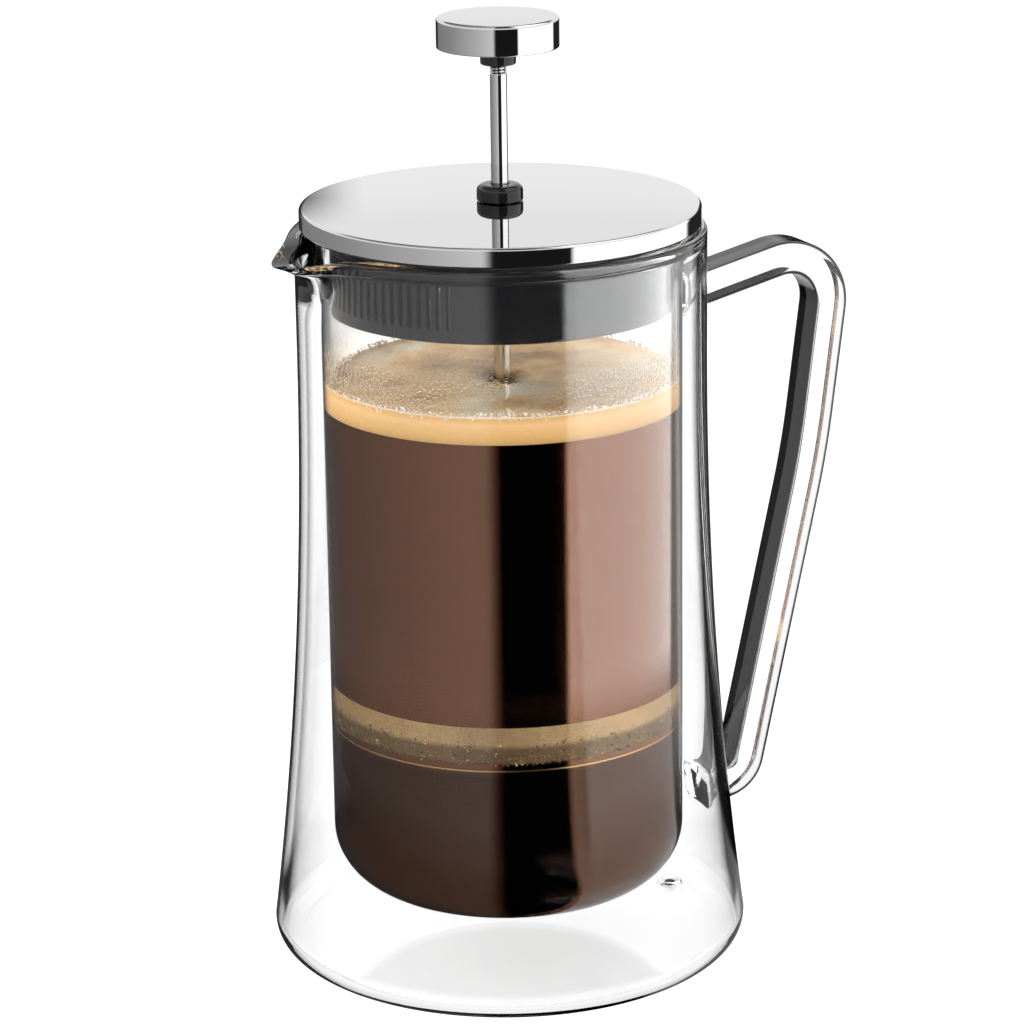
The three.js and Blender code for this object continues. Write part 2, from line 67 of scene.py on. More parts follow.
# Sizes in millimetres. The ones that the frame holds are read from it.
SEAT_GAP = 0.25
GLASS_WALL = 2.2
GLASS_TOP = high("outer_vessel", 2)
BORE = high("inner_vessel", 1) - GLASS_WALL
VESSEL = BORE + GLASS_WALL
NECK = VESSEL + 4.3 + GLASS_WALL
SEAM = VESSEL + 0.4
FLARE_SPREAD = 11.3
FLARE_TOP = GLASS_TOP - 28.4
FLARE_POWER = 2.1
BASE_CORNER = 7.0
FLOOR = 2.5
VESSEL_BOTTOM = low("inner_vessel", 2)
VESSEL_FLOOR = VESSEL_BOTTOM + GLASS_WALL + 0.3
BORE_CORNER = 13.8
LIP_WEB = 3.0
SPOUT_REACH, SPOUT_DROP, SPOUT_DEPTH = 10.0, 4.2, 12.4
CHANNEL_REACH, CHANNEL_DEPTH = 14.6, 22.0
SPOUT_PINCH, SPOUT_SPREAD = 11.0, 32.0
COVER = high("lid_cover", 1)
COVER_SHEET = 0.8
RIM_BOTTOM = low("lid_cover", 2)
RIM_TOP = RIM_BOTTOM + 4.9
DOME = 0.8
SKIRT = BORE - 0.5
SKIRT_WALL = 2.2
SKIRT_BOTTOM = low("lid_insert", 2)
ROD = high("plunger_rod", 1)
KNOB = high("knob_cap", 1)
KNOB_BOTTOM = low("knob_cap", 2)
KNOB_TOP = KNOB_BOTTOM + 8.0
COLLAR_BOTTOM = low("knob_core", 2)
BUSH_TOP = high("lid_bush", 2)
BUSH_LOW = low("lid_bush", 2)
SHANK = 4.25
DECK_UNDER = BUSH_LOW + 4.1
MESH_RADIUS = high("mesh_screen", 1)
MESH_LOW, MESH_HIGH = low("mesh_screen", 2), high("mesh_screen", 2)
SPRING_LOW, SPRING_HIGH = low("spring_plate", 2), high("spring_plate", 2)
SPRING_EDGE = high("spring_plate", 1)
PLATE_LOW, PLATE_HIGH = low("cross_plate", 2), high("cross_plate", 2)
COIL_MIDDLE = (low("edge_spring", 2) + high("edge_spring", 2)) / 2


# ---------------------------------------------------------------- properties

def length(name, description, default, low_end, high_end):
    return bpy.props.FloatProperty(
        name=name, description=description, default=default,
        min=low_end, max=high_end, unit="LENGTH", precision=4)


def colour(name, description, default):
    return bpy.props.FloatVectorProperty(
        name=name, description=description, default=default,
        min=0.0, max=1.0, size=3, subtype="COLOR")


class PressGlass(bpy.types.PropertyGroup):
    """Looks of the carafe's glass"""
    tint: colour("Glass tint", "Colour that the glass gives to light", (0.996, 0.998, 0.997))
    mist: bpy.props.FloatProperty(
        name="Condensation", description="Height of the droplets inside the glass",
        default=0.5, min=0.0, max=1.0, subtype="FACTOR")


class PressMetal(bpy.types.PropertyGroup):
    """Looks of the lid and the plunger"""
    steel: colour("Steel", "Colour of the polished steel", (0.8, 0.8, 0.81))
    plastic: colour("Plastic", "Colour of the moulded pieces", (0.012, 0.012, 0.013))
    rubs: bpy.props.FloatProperty(
        name="Rubs", description="Strength of the fine scratches on the steel",
        default=0.25, min=0.0, max=1.0, subtype="FACTOR")


class PressDrink(bpy.types.PropertyGroup):
    """Coffee in the carafe"""
    level: length("Coffee level", "Height of the coffee above the table", 0.152, 0.09, 0.17)
    crema: length("Crema", "Thickness of the crema on the coffee", 0.0075, 0.001, 0.015)
    coffee: colour("Coffee", "Colour of the coffee", (0.19, 0.08, 0.04))
    foam: colour("Foam", "Colour of the crema", (0.78, 0.44, 0.13))


class PressStage(bpy.types.PropertyGroup):
    """Camera, floor and studio light"""
    azimuth: bpy.props.FloatProperty(
        name="Azimuth", description="Direction that the camera looks from",
        default=math.radians(-25.0), subtype="ANGLE")
    elevation: bpy.props.FloatProperty(
        name="Elevation", description="Height of the camera above the horizon",
        default=math.radians(17.12), subtype="ANGLE")
    distance: length("Distance", "From the camera to the object", 1.0, 0.3, 5.0)
    front: bpy.props.FloatProperty(
        name="Front of the lights", description="Fixed side of the room that the lights face",
        default=math.radians(-25.0), subtype="ANGLE")
    white: bpy.props.FloatProperty(
        name="White panel", description="Strength of the bright panel beside the object",
        default=2.7, min=0.0, max=10.0)


# ------------------------------------------------------------------ surfaces

def arc_points(centre, start, end, steps):
    """Points on the circle about centre from start to end, the short way round, evenly turned"""
    u, v = start - centre, end - centre
    turn = np.arctan2(u[0] * v[1] - u[1] * v[0], u @ v)
    t = np.linspace(0.0, turn, steps + 1)
    return centre + np.stack([
        u[0] * np.cos(t) - u[1] * np.sin(t), u[0] * np.sin(t) + u[1] * np.cos(t)], -1)


def rounded(corners, ring=False, steps=6, stride=None, hold=0.12):
    """Straight runs between (r, z, radius) corners, each corner an arc tangent to both runs.
    Each long run has a point a short way in from both ends, so shading stays flat along it."""
    pts = np.array([c[:2] for c in corners], float)
    radii = [c[2] if len(c) > 2 else 0.0 for c in corners]
    pieces = []
    for i, radius in enumerate(radii):
        if radius == 0.0:
            pieces.append(pts[i:i + 1])
            continue
        a = pts[i - 1] - pts[i]
        b = pts[(i + 1) % len(pts)] - pts[i]
        a, b = a / np.linalg.norm(a), b / np.linalg.norm(b)
        half = math.acos(float(np.clip(a @ b, -1.0, 1.0))) / 2
        cut = radius / math.tan(half)
        middle = pts[i] + (a + b) / np.linalg.norm(a + b) * radius / math.sin(half)
        count = steps if stride is None else max(
            steps, int(radius * (math.pi - 2 * half) / stride))
        pieces.append(arc_points(middle, pts[i] + a * cut, pts[i] + b * cut, count))
    line = np.concatenate(pieces)
    following = np.roll(line, -1, 0) if ring else line[1:]
    out = []
    for p, q in zip(line, following):
        out.append(p)
        span = np.linalg.norm(q - p)
        if span > 8 * hold:
            out += [p + (q - p) * hold / span, q - (q - p) * hold / span]
    if not ring:
        out.append(line[-1])
    return np.array(out)


def closed_grid(grid, first=None, last=None, ring=False):
    """Faces over a grid of rows that each go once round, with a fan to a pole point where one
    is given, or with the last row joined to the first in a ring"""
    rows, cols = grid.shape[:2]
    verts = grid.reshape(-1, 3)
    r = np.arange(rows if ring else rows - 1)[:, None]
    c = np.arange(cols)[None, :]
    r2, c2 = (r + 1) % rows, (c + 1) % cols
    faces = np.stack([r * cols + c, r * cols + c2, r2 * cols + c2, r2 * cols + c], -1)
    faces = [faces.reshape(-1, 4)]
    edge, nxt = np.arange(cols), (np.arange(cols) + 1) % cols
    if first is not None:
        verts = np.vstack([verts, first])
        faces.append(np.stack([nxt, edge, np.full(cols, len(verts) - 1)], -1))
    if last is not None:
        verts = np.vstack([verts, last])
        top = (rows - 1) * cols
        faces.append(np.stack([top + edge, top + nxt, np.full(cols, len(verts) - 1)], -1))
    return verts, faces


def volume(verts, faces):
    """Signed volume inside closed faces: a sixth of the sum of each triangle's triple product"""
    total = 0.0
    for block in faces:
        for k in range(1, block.shape[1] - 1):
            a, b, c = verts[block[:, 0]], verts[block[:, k]], verts[block[:, k + 1]]
            total += np.einsum("ij,ij->i", a, np.cross(b, c)).sum() / 6
    return total


def outward(shape, inside_out=False):
    """Turns the faces so that they look outwards, or inwards for a hollow's surface"""
    verts, faces = shape
    if (volume(verts, faces) < 0) != inside_out:
        faces = [block[:, ::-1] for block in faces]
    return verts, faces


def revolve(profile, segments=160, ring=False, crowd=0.0):
    """(r, z) turned about +Z: the point at angle a is (r cos a, r sin a, z)"""
    p = np.asarray(profile, float)
    start = 0 if ring or p[0, 0] > 1e-6 else 1
    stop = len(p) if ring or p[-1, 0] > 1e-6 else len(p) - 1
    a = np.linspace(0.0, 2 * math.pi, segments, endpoint=False)
    a = a + crowd * np.sin(a)
    rows = p[start:stop]
    grid = np.stack([
        rows[:, :1] * np.cos(a), rows[:, :1] * np.sin(a),
        np.repeat(rows[:, 1:], segments, 1)], -1)
    first = (0.0, 0.0, p[0, 1]) if start else None
    last = (0.0, 0.0, p[-1, 1]) if stop < len(p) else None
    return outward(closed_grid(grid, first, last, ring))


def lathe(corners, segments=160, ring=False, crowd=0.0, **bends):
    """Profile of rounded corners turned about +Z, closed on itself where it is a ring"""
    return revolve(rounded(corners, ring=ring, **bends), segments, ring=ring, crowd=crowd)


def joined(shapes):
    """Several shapes as one"""
    verts, faces, count = [], [], 0
    for v, blocks in shapes:
        verts.append(v)
        faces += [b + count for b in blocks]
        count += len(v)
    return np.vstack(verts), faces


def turned(shape, angle):
    """A shape turned about +Z"""
    v, faces = shape
    c, s = math.cos(angle), math.sin(angle)
    return np.stack([v[:, 0] * c - v[:, 1] * s, v[:, 0] * s + v[:, 1] * c, v[:, 2]], -1), faces


def moved(shape, offset):
    """A shape shifted by an offset"""
    return shape[0] + np.asarray(offset, float), shape[1]


def add_mesh(name, shape, material, sharp=34.0):
    """New object from a shape in millimetres, smooth except along edges that turn sharply"""
    verts, faces = shape
    mesh = bpy.data.meshes.new(name)
    polygons = [row for b in faces for row in b.tolist()]
    mesh.from_pydata((verts * MM).tolist(), [], polygons)
    mesh.validate()
    mesh.shade_smooth()
    mesh.set_sharp_from_angle(angle=math.radians(sharp))
    mesh.materials.append(material)
    obj = bpy.data.objects.new(name, mesh)
    bpy.context.scene.collection.objects.link(obj)
    return obj


def combine(obj, shape, operation, sharp=34.0):
    """Joins a shape to an object's mesh or cuts it away, as solids"""
    tool = add_mesh(obj.name + "_tool", shape, obj.data.materials[0])
    step = obj.modifiers.new("solid", "BOOLEAN")
    step.operation, step.solver, step.object = operation, "MANIFOLD", tool
    graph = bpy.context.evaluated_depsgraph_get()
    mesh = bpy.data.meshes.new_from_object(obj.evaluated_get(graph), depsgraph=graph)
    obj.modifiers.remove(step)
    if not mesh.polygons:
        raise RuntimeError(obj.name + ": joining the solids left nothing")
    material = obj.data.materials[0]
    obj.data = mesh
    mesh.name = obj.name
    mesh.materials.clear()
    mesh.materials.append(material)
    mesh.shade_smooth()
    mesh.set_sharp_from_angle(angle=math.radians(sharp))
    bpy.data.objects.remove(tool)
    return obj


def place(obj, body, slot, *nodes):
    """Ties an object to its CAD body and hides the CAD nodes that it stands for; the material slot is
    not used
    """
    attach(obj, body)
    if nodes:
        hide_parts(*nodes)
    return obj


# ----------------------------------------------------------------- materials

class Nodes:
    """Short way to lay out a node tree"""

    def __init__(self, tree):
        self.tree = tree

    def feed(self, socket, value):
        """Links a socket to another one, or sets its own value"""
        if isinstance(value, bpy.types.NodeSocket):
            self.tree.links.new(value, socket)
        else:
            socket.default_value = value

    def add(self, kind, _set=None, **inputs):
        node = self.tree.nodes.new(kind)
        for key, value in (_set or {}).items():
            setattr(node, key, value)
        for key, value in inputs.items():
            name = key.replace("_", " ")
            numbered = key[0] == "i" and key[1:].isdigit()
            socket = node.inputs[int(key[1:]) if numbered else name]
            self.feed(socket, value)
        return node

    def math(self, operation, a, b=0.0, c=0.0, clamp=False):
        node = self.tree.nodes.new("ShaderNodeMath")
        node.operation, node.use_clamp = operation, clamp
        for socket, value in zip(node.inputs, (a, b, c)):
            self.feed(socket, value)
        return node.outputs[0]

    def ramp(self, value, stops, smooth=False):
        node = self.tree.nodes.new("ShaderNodeValToRGB")
        ramp = node.color_ramp
        ramp.interpolation = "EASE" if smooth else "LINEAR"
        for k, (at, rgb) in enumerate(stops):
            rgb = (rgb, rgb, rgb) if isinstance(rgb, (int, float)) else rgb
            element = ramp.elements[k] if k < 2 else ramp.elements.new(at)
            element.position = at
            element.color = (*rgb, 1.0)
        self.tree.links.new(value, node.inputs[0])
        return node.outputs[0]

    def mix(self, factor, a, b, blend="MIX"):
        node = self.tree.nodes.new("ShaderNodeMix")
        node.data_type, node.blend_type = "RGBA", blend
        for socket, value in zip((node.inputs[0], node.inputs[6], node.inputs[7]), (factor, a, b)):
            self.feed(socket, (*value, 1.0) if isinstance(value, tuple) else value)
        return node.outputs[2]

    def range(self, value, a, b, c, d):
        node = self.add("ShaderNodeMapRange", Value=value)
        node.inputs[1].default_value, node.inputs[2].default_value = a, b
        node.inputs[3].default_value, node.inputs[4].default_value = c, d
        return node.outputs[0]

    def at(self):
        return self.add("ShaderNodeTexCoord").outputs["Object"]

    def split(self, vector):
        return self.add("ShaderNodeSeparateXYZ", Vector=vector).outputs

    def radius(self, axis):
        squares = [self.math("MULTIPLY", axis[k], axis[k]) for k in (0, 1)]
        return self.math("SQRT", self.math("ADD", *squares))

    def link(self, value, shader, name):
        self.tree.links.new(value, shader.inputs[name])

    def noise(self, vector, scale, detail=3.0, roughness=0.5):
        return self.add("ShaderNodeTexNoise", Vector=vector, Scale=scale, Detail=detail,
                        Roughness=roughness).outputs[0]


def plain(shader, values):
    """Sets a shader's own sockets to values that are the same all over the surface"""
    for name, value in values.items():
        shader.inputs[name].default_value = value


def new_material(name):
    """Empty material with its output and a Principled shader"""
    material = bpy.data.materials.new(name)
    material.use_nodes = True
    nodes = Nodes(material.node_tree)
    return material, nodes, material.node_tree.nodes["Principled BSDF"]


def effect_group(name, inputs, outputs):
    """Node group with the given (name, type, default) inputs and (name, type) outputs"""
    tree = bpy.data.node_groups.new(name, "ShaderNodeTree")
    for label, kind, default in inputs:
        socket = tree.interface.new_socket(label, in_out="INPUT", socket_type=kind)
        if default is not None:
            socket.default_value = default
    for label, kind in outputs:
        tree.interface.new_socket(label, in_out="OUTPUT", socket_type=kind)
    nodes = Nodes(tree)
    return tree, nodes, nodes.add("NodeGroupInput"), nodes.add("NodeGroupOutput")


def wear_group():
    """Wear: slow smudges as a mask, and fine scratches with the smudges as a normal"""
    found = bpy.data.node_groups.get("Surface wear")
    if found:
        return found
    tree, n, given, result = effect_group(
        "Surface wear",
        [("Vector", "NodeSocketVector", None), ("Strength", "NodeSocketFloat", 0.2),
         ("Grain", "NodeSocketFloat", 900.0)],
        [("Smudge", "NodeSocketFloat"), ("Normal", "NodeSocketVector")])
    smudge = n.noise(given.outputs["Vector"], 38.0, 4.0, 0.6)
    stretched = n.add("ShaderNodeMapping", Vector=given.outputs["Vector"],
                      Scale=(1.0, 1.0, 0.08)).outputs[0]
    grain = n.add("ShaderNodeTexNoise", Vector=stretched, Scale=given.outputs["Grain"],
                  Detail=2.0, Roughness=0.6).outputs[0]
    height = n.math("ADD", n.math("MULTIPLY", grain, 0.5), smudge)
    bump = n.add("ShaderNodeBump", Strength=given.outputs["Strength"], Distance=0.00002,
                 Height=height)
    n.tree.links.new(smudge, result.inputs["Smudge"])
    n.tree.links.new(bump.outputs[0], result.inputs["Normal"])
    return tree


def with_wear(n, shader, strength, grain, rough_low, rough_high):
    """Puts the wear group on a shader's roughness and normal"""
    group = n.add("ShaderNodeGroup", _set={"node_tree": wear_group()}, Vector=n.at(),
                  Strength=strength, Grain=grain)
    rough = n.range(group.outputs["Smudge"], 0.3, 0.7, rough_low, rough_high)
    n.tree.links.new(rough, shader.inputs["Roughness"])
    n.tree.links.new(group.outputs["Normal"], shader.inputs["Normal"])
    return group.outputs["Smudge"]


def polished_steel():
    """Polished steel: mirror-like, with faint smudges"""
    material, n, s = new_material("polished_steel")
    look = bpy.context.scene.press_metal
    s.inputs["Metallic"].default_value = 1.0
    smudge = with_wear(n, s, look.rubs * 0.2, 1500.0, 0.02, 0.05)
    tone = n.mix(smudge, tuple(look.steel), tuple(v * 0.97 for v in look.steel))
    n.link(tone, s, "Base Color")
    return material


def plain_steel():
    """Unpolished steel of the filter: duller, with drawn grain"""
    material, n, s = new_material("plain_steel")
    s.inputs["Metallic"].default_value = 1.0
    smudge = with_wear(n, s, 0.5, 700.0, 0.2, 0.34)
    tone = n.mix(smudge, (0.62, 0.61, 0.6), (0.5, 0.49, 0.47))
    n.link(tone, s, "Base Color")
    return material


def brass_metal():
    """Turned brass of the threaded insert"""
    material, n, s = new_material("turned_brass")
    s.inputs["Metallic"].default_value = 1.0
    smudge = with_wear(n, s, 0.4, 900.0, 0.18, 0.3)
    tone = n.mix(smudge, (0.78, 0.56, 0.25), (0.6, 0.41, 0.17))
    n.link(tone, s, "Base Color")
    return material


def gloss_plastic():
    """Black moulded plastic with a soft sheen and fine moulded grain"""
    material, n, s = new_material("gloss_plastic")
    look = bpy.context.scene.press_metal
    smudge = with_wear(n, s, 0.15, 1300.0, 0.05, 0.1)
    tone = n.mix(smudge, tuple(look.plastic), tuple(v * 1.6 for v in look.plastic))
    n.link(tone, s, "Base Color")
    s.inputs["IOR"].default_value = 1.5
    return material


def rubber():
    """Matt black rubber with fine grain"""
    material, n, s = new_material("matt_rubber")
    smudge = with_wear(n, s, 0.6, 2200.0, 0.5, 0.65)
    tone = n.mix(smudge, (0.02, 0.02, 0.021), (0.035, 0.035, 0.036))
    n.link(tone, s, "Base Color")
    return material


# How far from facing the eye the glass's painted dark reflection begins and is darkest: 0 is face-on, 1
# is edge-on
WALL_PAINTED_REFLECTION, STRAP_PAINTED_REFLECTION = (0.74, 0.86), (0.22, 0.34)
# Colour of the painted dark reflection on the glass's edge-on walls and handle
PAINTED_REFLECTION_DARK = (0.002, 0.002, 0.002)
# Share of a cell that a droplet covers, squared
DROP_SPREAD = 0.3


def clear_glass():
    """Clear glass, index 1.47, with a painted dark reflection in its colour where it is seen edge-on: a
    thin line on the walls, and the whole flank of the handle. Droplets of condensation stand on the
    inside of the bore between the drink and the lid, their rims darkened with painted shade. Shadows
    and soft light pass straight through it."""
    material, n, s = new_material("clear_glass")
    look = bpy.context.scene.press_glass
    drink = bpy.context.scene.press_drink
    plain(s, {"Transmission Weight": 1.0, "Metallic": 0.0, "IOR": 1.47})
    at = n.at()
    axis = n.split(at)
    radius = n.radius(axis)
    inside = n.range(radius, (BORE + 0.5) * MM, (BORE + 0.7) * MM, 1.0, 0.0)
    foam_top = drink.level + drink.crema
    rise = n.range(axis[2], foam_top - 0.001, foam_top + 0.001, 0.0, 1.0)
    fade = n.range(axis[2], foam_top + 0.002, foam_top + 0.012, 1.0, 0.0)
    patches = n.range(n.noise(at, 42.0, 3.0), 0.42, 0.6, 0.0, 1.0)
    cells = n.add("ShaderNodeTexVoronoi", Vector=at, Scale=1150.0).outputs["Distance"]
    dome = n.math("SUBTRACT", DROP_SPREAD, n.math("MULTIPLY", cells, cells))
    drops = n.math("SQRT", n.math("MAXIMUM", dome, 0.0))
    spread = n.math("MULTIPLY", fade, n.math("ADD", 0.15, patches), clamp=True)
    mask = n.math("MULTIPLY", n.math("MULTIPLY", inside, rise), spread)
    height = n.math("MULTIPLY", drops, mask)
    bump = n.add("ShaderNodeBump", Strength=look.mist, Distance=0.0009, Height=height)
    n.link(bump.outputs[0], s, "Normal")
    faint = n.noise(at, 9.0, 2.0)
    tint = n.mix(faint, tuple(look.tint), tuple(v * 0.995 for v in look.tint))
    facing = n.add("ShaderNodeLayerWeight", Blend=0.5).outputs["Facing"]
    share = n.math("DIVIDE", n.math("SUBTRACT", FLARE_TOP * MM, axis[2]), FLARE_TOP * MM,
                   clamp=True)
    wall = n.math("MULTIPLY", n.math("POWER", share, FLARE_POWER), FLARE_SPREAD * MM)
    beyond = n.math("SUBTRACT", radius, wall)
    strap = n.range(beyond, (NECK + 0.8) * MM, (NECK + 2.0) * MM, 0.0, 1.0)
    strap = n.math("MULTIPLY", strap, n.math("GREATER_THAN", axis[0], 0.0))
    level = n.math("ABSOLUTE", n.split(n.add("ShaderNodeTexCoord").outputs["Normal"])[2])
    upright = n.range(level, 0.35, 0.7, 1.0, 0.0)
    # Painted dark reflection: where the upright walls or the handle's flank turn edge-on, the glass
    # colour goes nearly black
    wall_painted_reflection = n.math("MULTIPLY", n.range(facing, *WALL_PAINTED_REFLECTION, 0.0, 1.0), upright)
    wall_painted_reflection = n.math("MULTIPLY", wall_painted_reflection, n.math("SUBTRACT", 1.0, inside))
    strap_painted_reflection = n.range(facing, *STRAP_PAINTED_REFLECTION, 0.0, 1.0)
    tint = n.mix(n.mix(strap, wall_painted_reflection, strap_painted_reflection), tint, PAINTED_REFLECTION_DARK)
    # Painted shade: the droplets' rims, where their bumped surface turns from the face, are darkened
    # brown
    bent = n.add("ShaderNodeLayerWeight", Blend=0.5, Normal=bump.outputs[0]).outputs["Facing"]
    drop_painted_shade = n.range(n.math("SUBTRACT", bent, facing), 0.04, 0.3, 0.0, 0.75)
    tint = n.mix(n.math("MULTIPLY", drop_painted_shade, mask), tint, (0.2, 0.16, 0.12))
    n.link(tint, s, "Base Color")
    rough = n.range(faint, 0.0, 1.0, 0.0, 0.004)
    n.link(rough, s, "Roughness")
    path = n.add("ShaderNodeLightPath").outputs
    soft = n.math("MAXIMUM", path["Is Shadow Ray"], path["Is Diffuse Ray"])
    clear = n.add("ShaderNodeBsdfTransparent")
    mixed = n.add("ShaderNodeMixShader", i0=soft, i1=s.outputs[0], i2=clear.outputs[0])
    n.tree.links.new(mixed.outputs[0], n.tree.nodes["Material Output"].inputs[0])
    return material


def woven_wire():
    """Fine woven wire cloth: two sets of wires cross on the diagonal and pass over each other,
    with coffee in the openings and painted glints, random specks of brighter gold"""
    material, n, s = new_material("woven_wire")
    at = n.at()
    axis = n.split(at)
    turn = n.math("ARCTAN2", axis[1], axis[0])
    along = n.math("MULTIPLY", turn, MESH_RADIUS * MM)
    radius = n.radius(axis)
    wall = n.math("GREATER_THAN", radius, (MESH_RADIUS - 0.7) * MM)
    u = n.mix(wall, n.add("ShaderNodeCombineXYZ", X=axis[0], Y=axis[1]).outputs[0],
              n.add("ShaderNodeCombineXYZ", X=along, Y=axis[2]).outputs[0])
    parts = n.split(u)
    pitch = 2 * math.pi / 0.00062
    first = n.math("MULTIPLY", n.math("ADD", parts[0], parts[1]), pitch)
    second = n.math("MULTIPLY", n.math("SUBTRACT", parts[0], parts[1]), pitch)
    weave = n.math("MULTIPLY", n.math("SINE", first), n.math("SINE", second))
    lines = n.math("MAXIMUM", n.math("SINE", first), n.math("SINE", second))
    open_part = n.range(lines, -0.1, 0.5, 0.0, 1.0)
    # Painted glints: random cells of the wire turned a brighter gold
    painted_glint_cells = n.add("ShaderNodeTexVoronoi", Vector=at, Scale=900.0).outputs["Color"]
    painted_glint = n.math("POWER", n.split(painted_glint_cells)[0], 5.0)
    blotch = n.noise(at, 160.0, 3.0)
    wet = n.mix(blotch, (0.74, 0.46, 0.2), (1.0, 0.73, 0.43))
    wire = n.mix(painted_glint, wet, (0.9, 0.65, 0.25))
    filled = n.range(axis[2], (MESH_LOW + 4.5) * MM, (MESH_LOW + 6.0) * MM, 0.35, 1.0)
    wire = n.mix(filled, (0.06, 0.03, 0.012), wire)
    tone = n.mix(open_part, (0.05, 0.024, 0.01), wire)
    n.link(tone, s, "Base Color")
    plain(s, {"Metallic": 0.8, "Roughness": 0.24})
    bump = n.add("ShaderNodeBump", Strength=0.35, Distance=0.0001,
                 Height=n.math("ADD", lines, n.math("MULTIPLY", weave, 0.4)))
    n.link(bump.outputs[0], s, "Normal")
    return material


def coffee_liquid():
    """Black coffee against glass: it mirrors the studio in brown and scatters next to nothing,
    and it is darker near the grounds"""
    material, n, s = new_material("coffee_liquid")
    drink = bpy.context.scene.press_drink
    at = n.at()
    height = n.split(at)[2]
    cloud = n.noise(at, 26.0, 3.0)
    body = n.mix(cloud, tuple(drink.coffee), tuple(v * 0.88 for v in drink.coffee))
    depth = n.range(height, PLATE_LOW * MM - 0.001, PLATE_LOW * MM + 0.001, 0.0, 1.0)
    tone = n.mix(depth, tuple(v * 0.3 for v in drink.coffee), body)
    n.link(tone, s, "Base Color")
    s.inputs["Metallic"].default_value = 1.0
    rough = n.range(cloud, 0.3, 0.7, 0.03, 0.07)
    n.link(rough, s, "Roughness")
    return material


def crema_foam():
    """Golden crema: a smooth edge against the glass, and a mottled top with small bubbles whose gold
    and cream are lifted brighter as painted light, darker around the rod"""
    material, n, s = new_material("crema_foam")
    drink = bpy.context.scene.press_drink
    at = n.at()
    axis = n.split(at)
    radius = n.radius(axis)
    slow = n.noise(at, 34.0, 4.0, 0.6)
    fine = n.noise(at, 900.0, 2.0)
    gold = tuple(drink.foam)
    cream = tuple(min(1.0, v * 1.05 + 0.12) for v in gold)
    brown = (0.3, 0.13, 0.045)
    rise = n.range(axis[2], drink.level, drink.level + drink.crema, 0.0, 1.0)
    edge = n.ramp(rise, [(0.0, tuple(v * 0.72 for v in gold)), (0.25, gold), (0.7, cream),
                         (0.9, gold), (1.0, (0.95, 0.88, 0.75))])
    # Random mottle of the top, its gold and cream lifted brighter as painted light against the shade
    # under the lid
    mottle_with_painted_light = n.ramp(slow, [(0.34, brown), (0.45, tuple(v * 0.9 for v in gold)),
                           (0.53, (1.0, 0.62, 0.24)), (0.64, (1.0, 0.86, 0.62))])
    near = n.range(radius, 0.003, 0.009, 1.0, 0.0)
    top = n.mix(near, mottle_with_painted_light, (0.05, 0.015, 0.008))
    flat = n.range(radius, (BORE - 2.5) * MM, (BORE - 0.5) * MM, 1.0, 0.0)
    colour_out = n.mix(flat, edge, top)
    grained = n.mix(n.range(fine, 0.3, 0.7, 0.0, 0.25), colour_out, cream)
    n.link(grained, s, "Base Color")
    plain(s, {"Roughness": 0.5, "Coat Weight": 0.45, "Coat Roughness": 0.1,
              "Subsurface Weight": 0.15, "Subsurface Radius": (1.0, 0.6, 0.3),
              "Subsurface Scale": 0.002})
    bubbles = n.add("ShaderNodeTexVoronoi", Vector=at, Scale=700.0).outputs["Distance"]
    bump = n.add("ShaderNodeBump", Strength=0.4, Distance=0.0004, Height=bubbles)
    n.link(bump.outputs[0], s, "Normal")
    return material


def bubble_film():
    """Pale, wet bubbles along the edge of the crema, each a little different"""
    material, n, s = new_material("bubble_film")
    at = n.at()
    cells = n.add("ShaderNodeTexVoronoi", Vector=at, Scale=1400.0).outputs["Color"]
    pick = n.split(cells)[0]
    tone = n.ramp(pick, [(0.0, (0.55, 0.36, 0.2)), (0.4, (0.85, 0.75, 0.6)),
                         (1.0, (1.0, 0.97, 0.92))])
    n.link(tone, s, "Base Color")
    s.inputs["Roughness"].default_value = 0.12
    return material


def grounds_paste():
    """Wet ground coffee with lighter crumbs"""
    material, n, s = new_material("wet_grounds")
    at = n.at()
    crumbs = n.add("ShaderNodeTexVoronoi", Vector=at, Scale=650.0)
    pick = n.split(crumbs.outputs["Color"])[0]
    tone = n.ramp(pick, [(0.0, (0.03, 0.012, 0.006)), (0.6, (0.1, 0.045, 0.02)),
                         (0.9, (0.4, 0.22, 0.08)), (1.0, (0.75, 0.5, 0.2))])
    n.link(tone, s, "Base Color")
    s.inputs["Roughness"].default_value = 0.35
    bump = n.add("ShaderNodeBump", Strength=0.8, Distance=0.0005, Height=crumbs.outputs["Distance"])
    n.link(bump.outputs[0], s, "Normal")
    return material


def shared(maker):
    """The material that a function makes, made once"""
    kept = shared.__dict__.setdefault("kept", {})
    if maker.__name__ not in kept:
        kept[maker.__name__] = maker()
    return kept[maker.__name__]


# -------------------------------------------------------------------- carafe

def wall_radius(z):
    """Outer radius of the carafe at height z: straight neck, opening as a power below the flare"""
    t = np.maximum(0.0, 1 - np.asarray(z, float) / FLARE_TOP)
    return NECK + FLARE_SPREAD * t ** FLARE_POWER


def wall_run(f, z0, z1, count):
    """Profile points (f(z), z) at even heights"""
    z = np.linspace(z0, z1, count)
    return np.stack([f(z), z], -1)


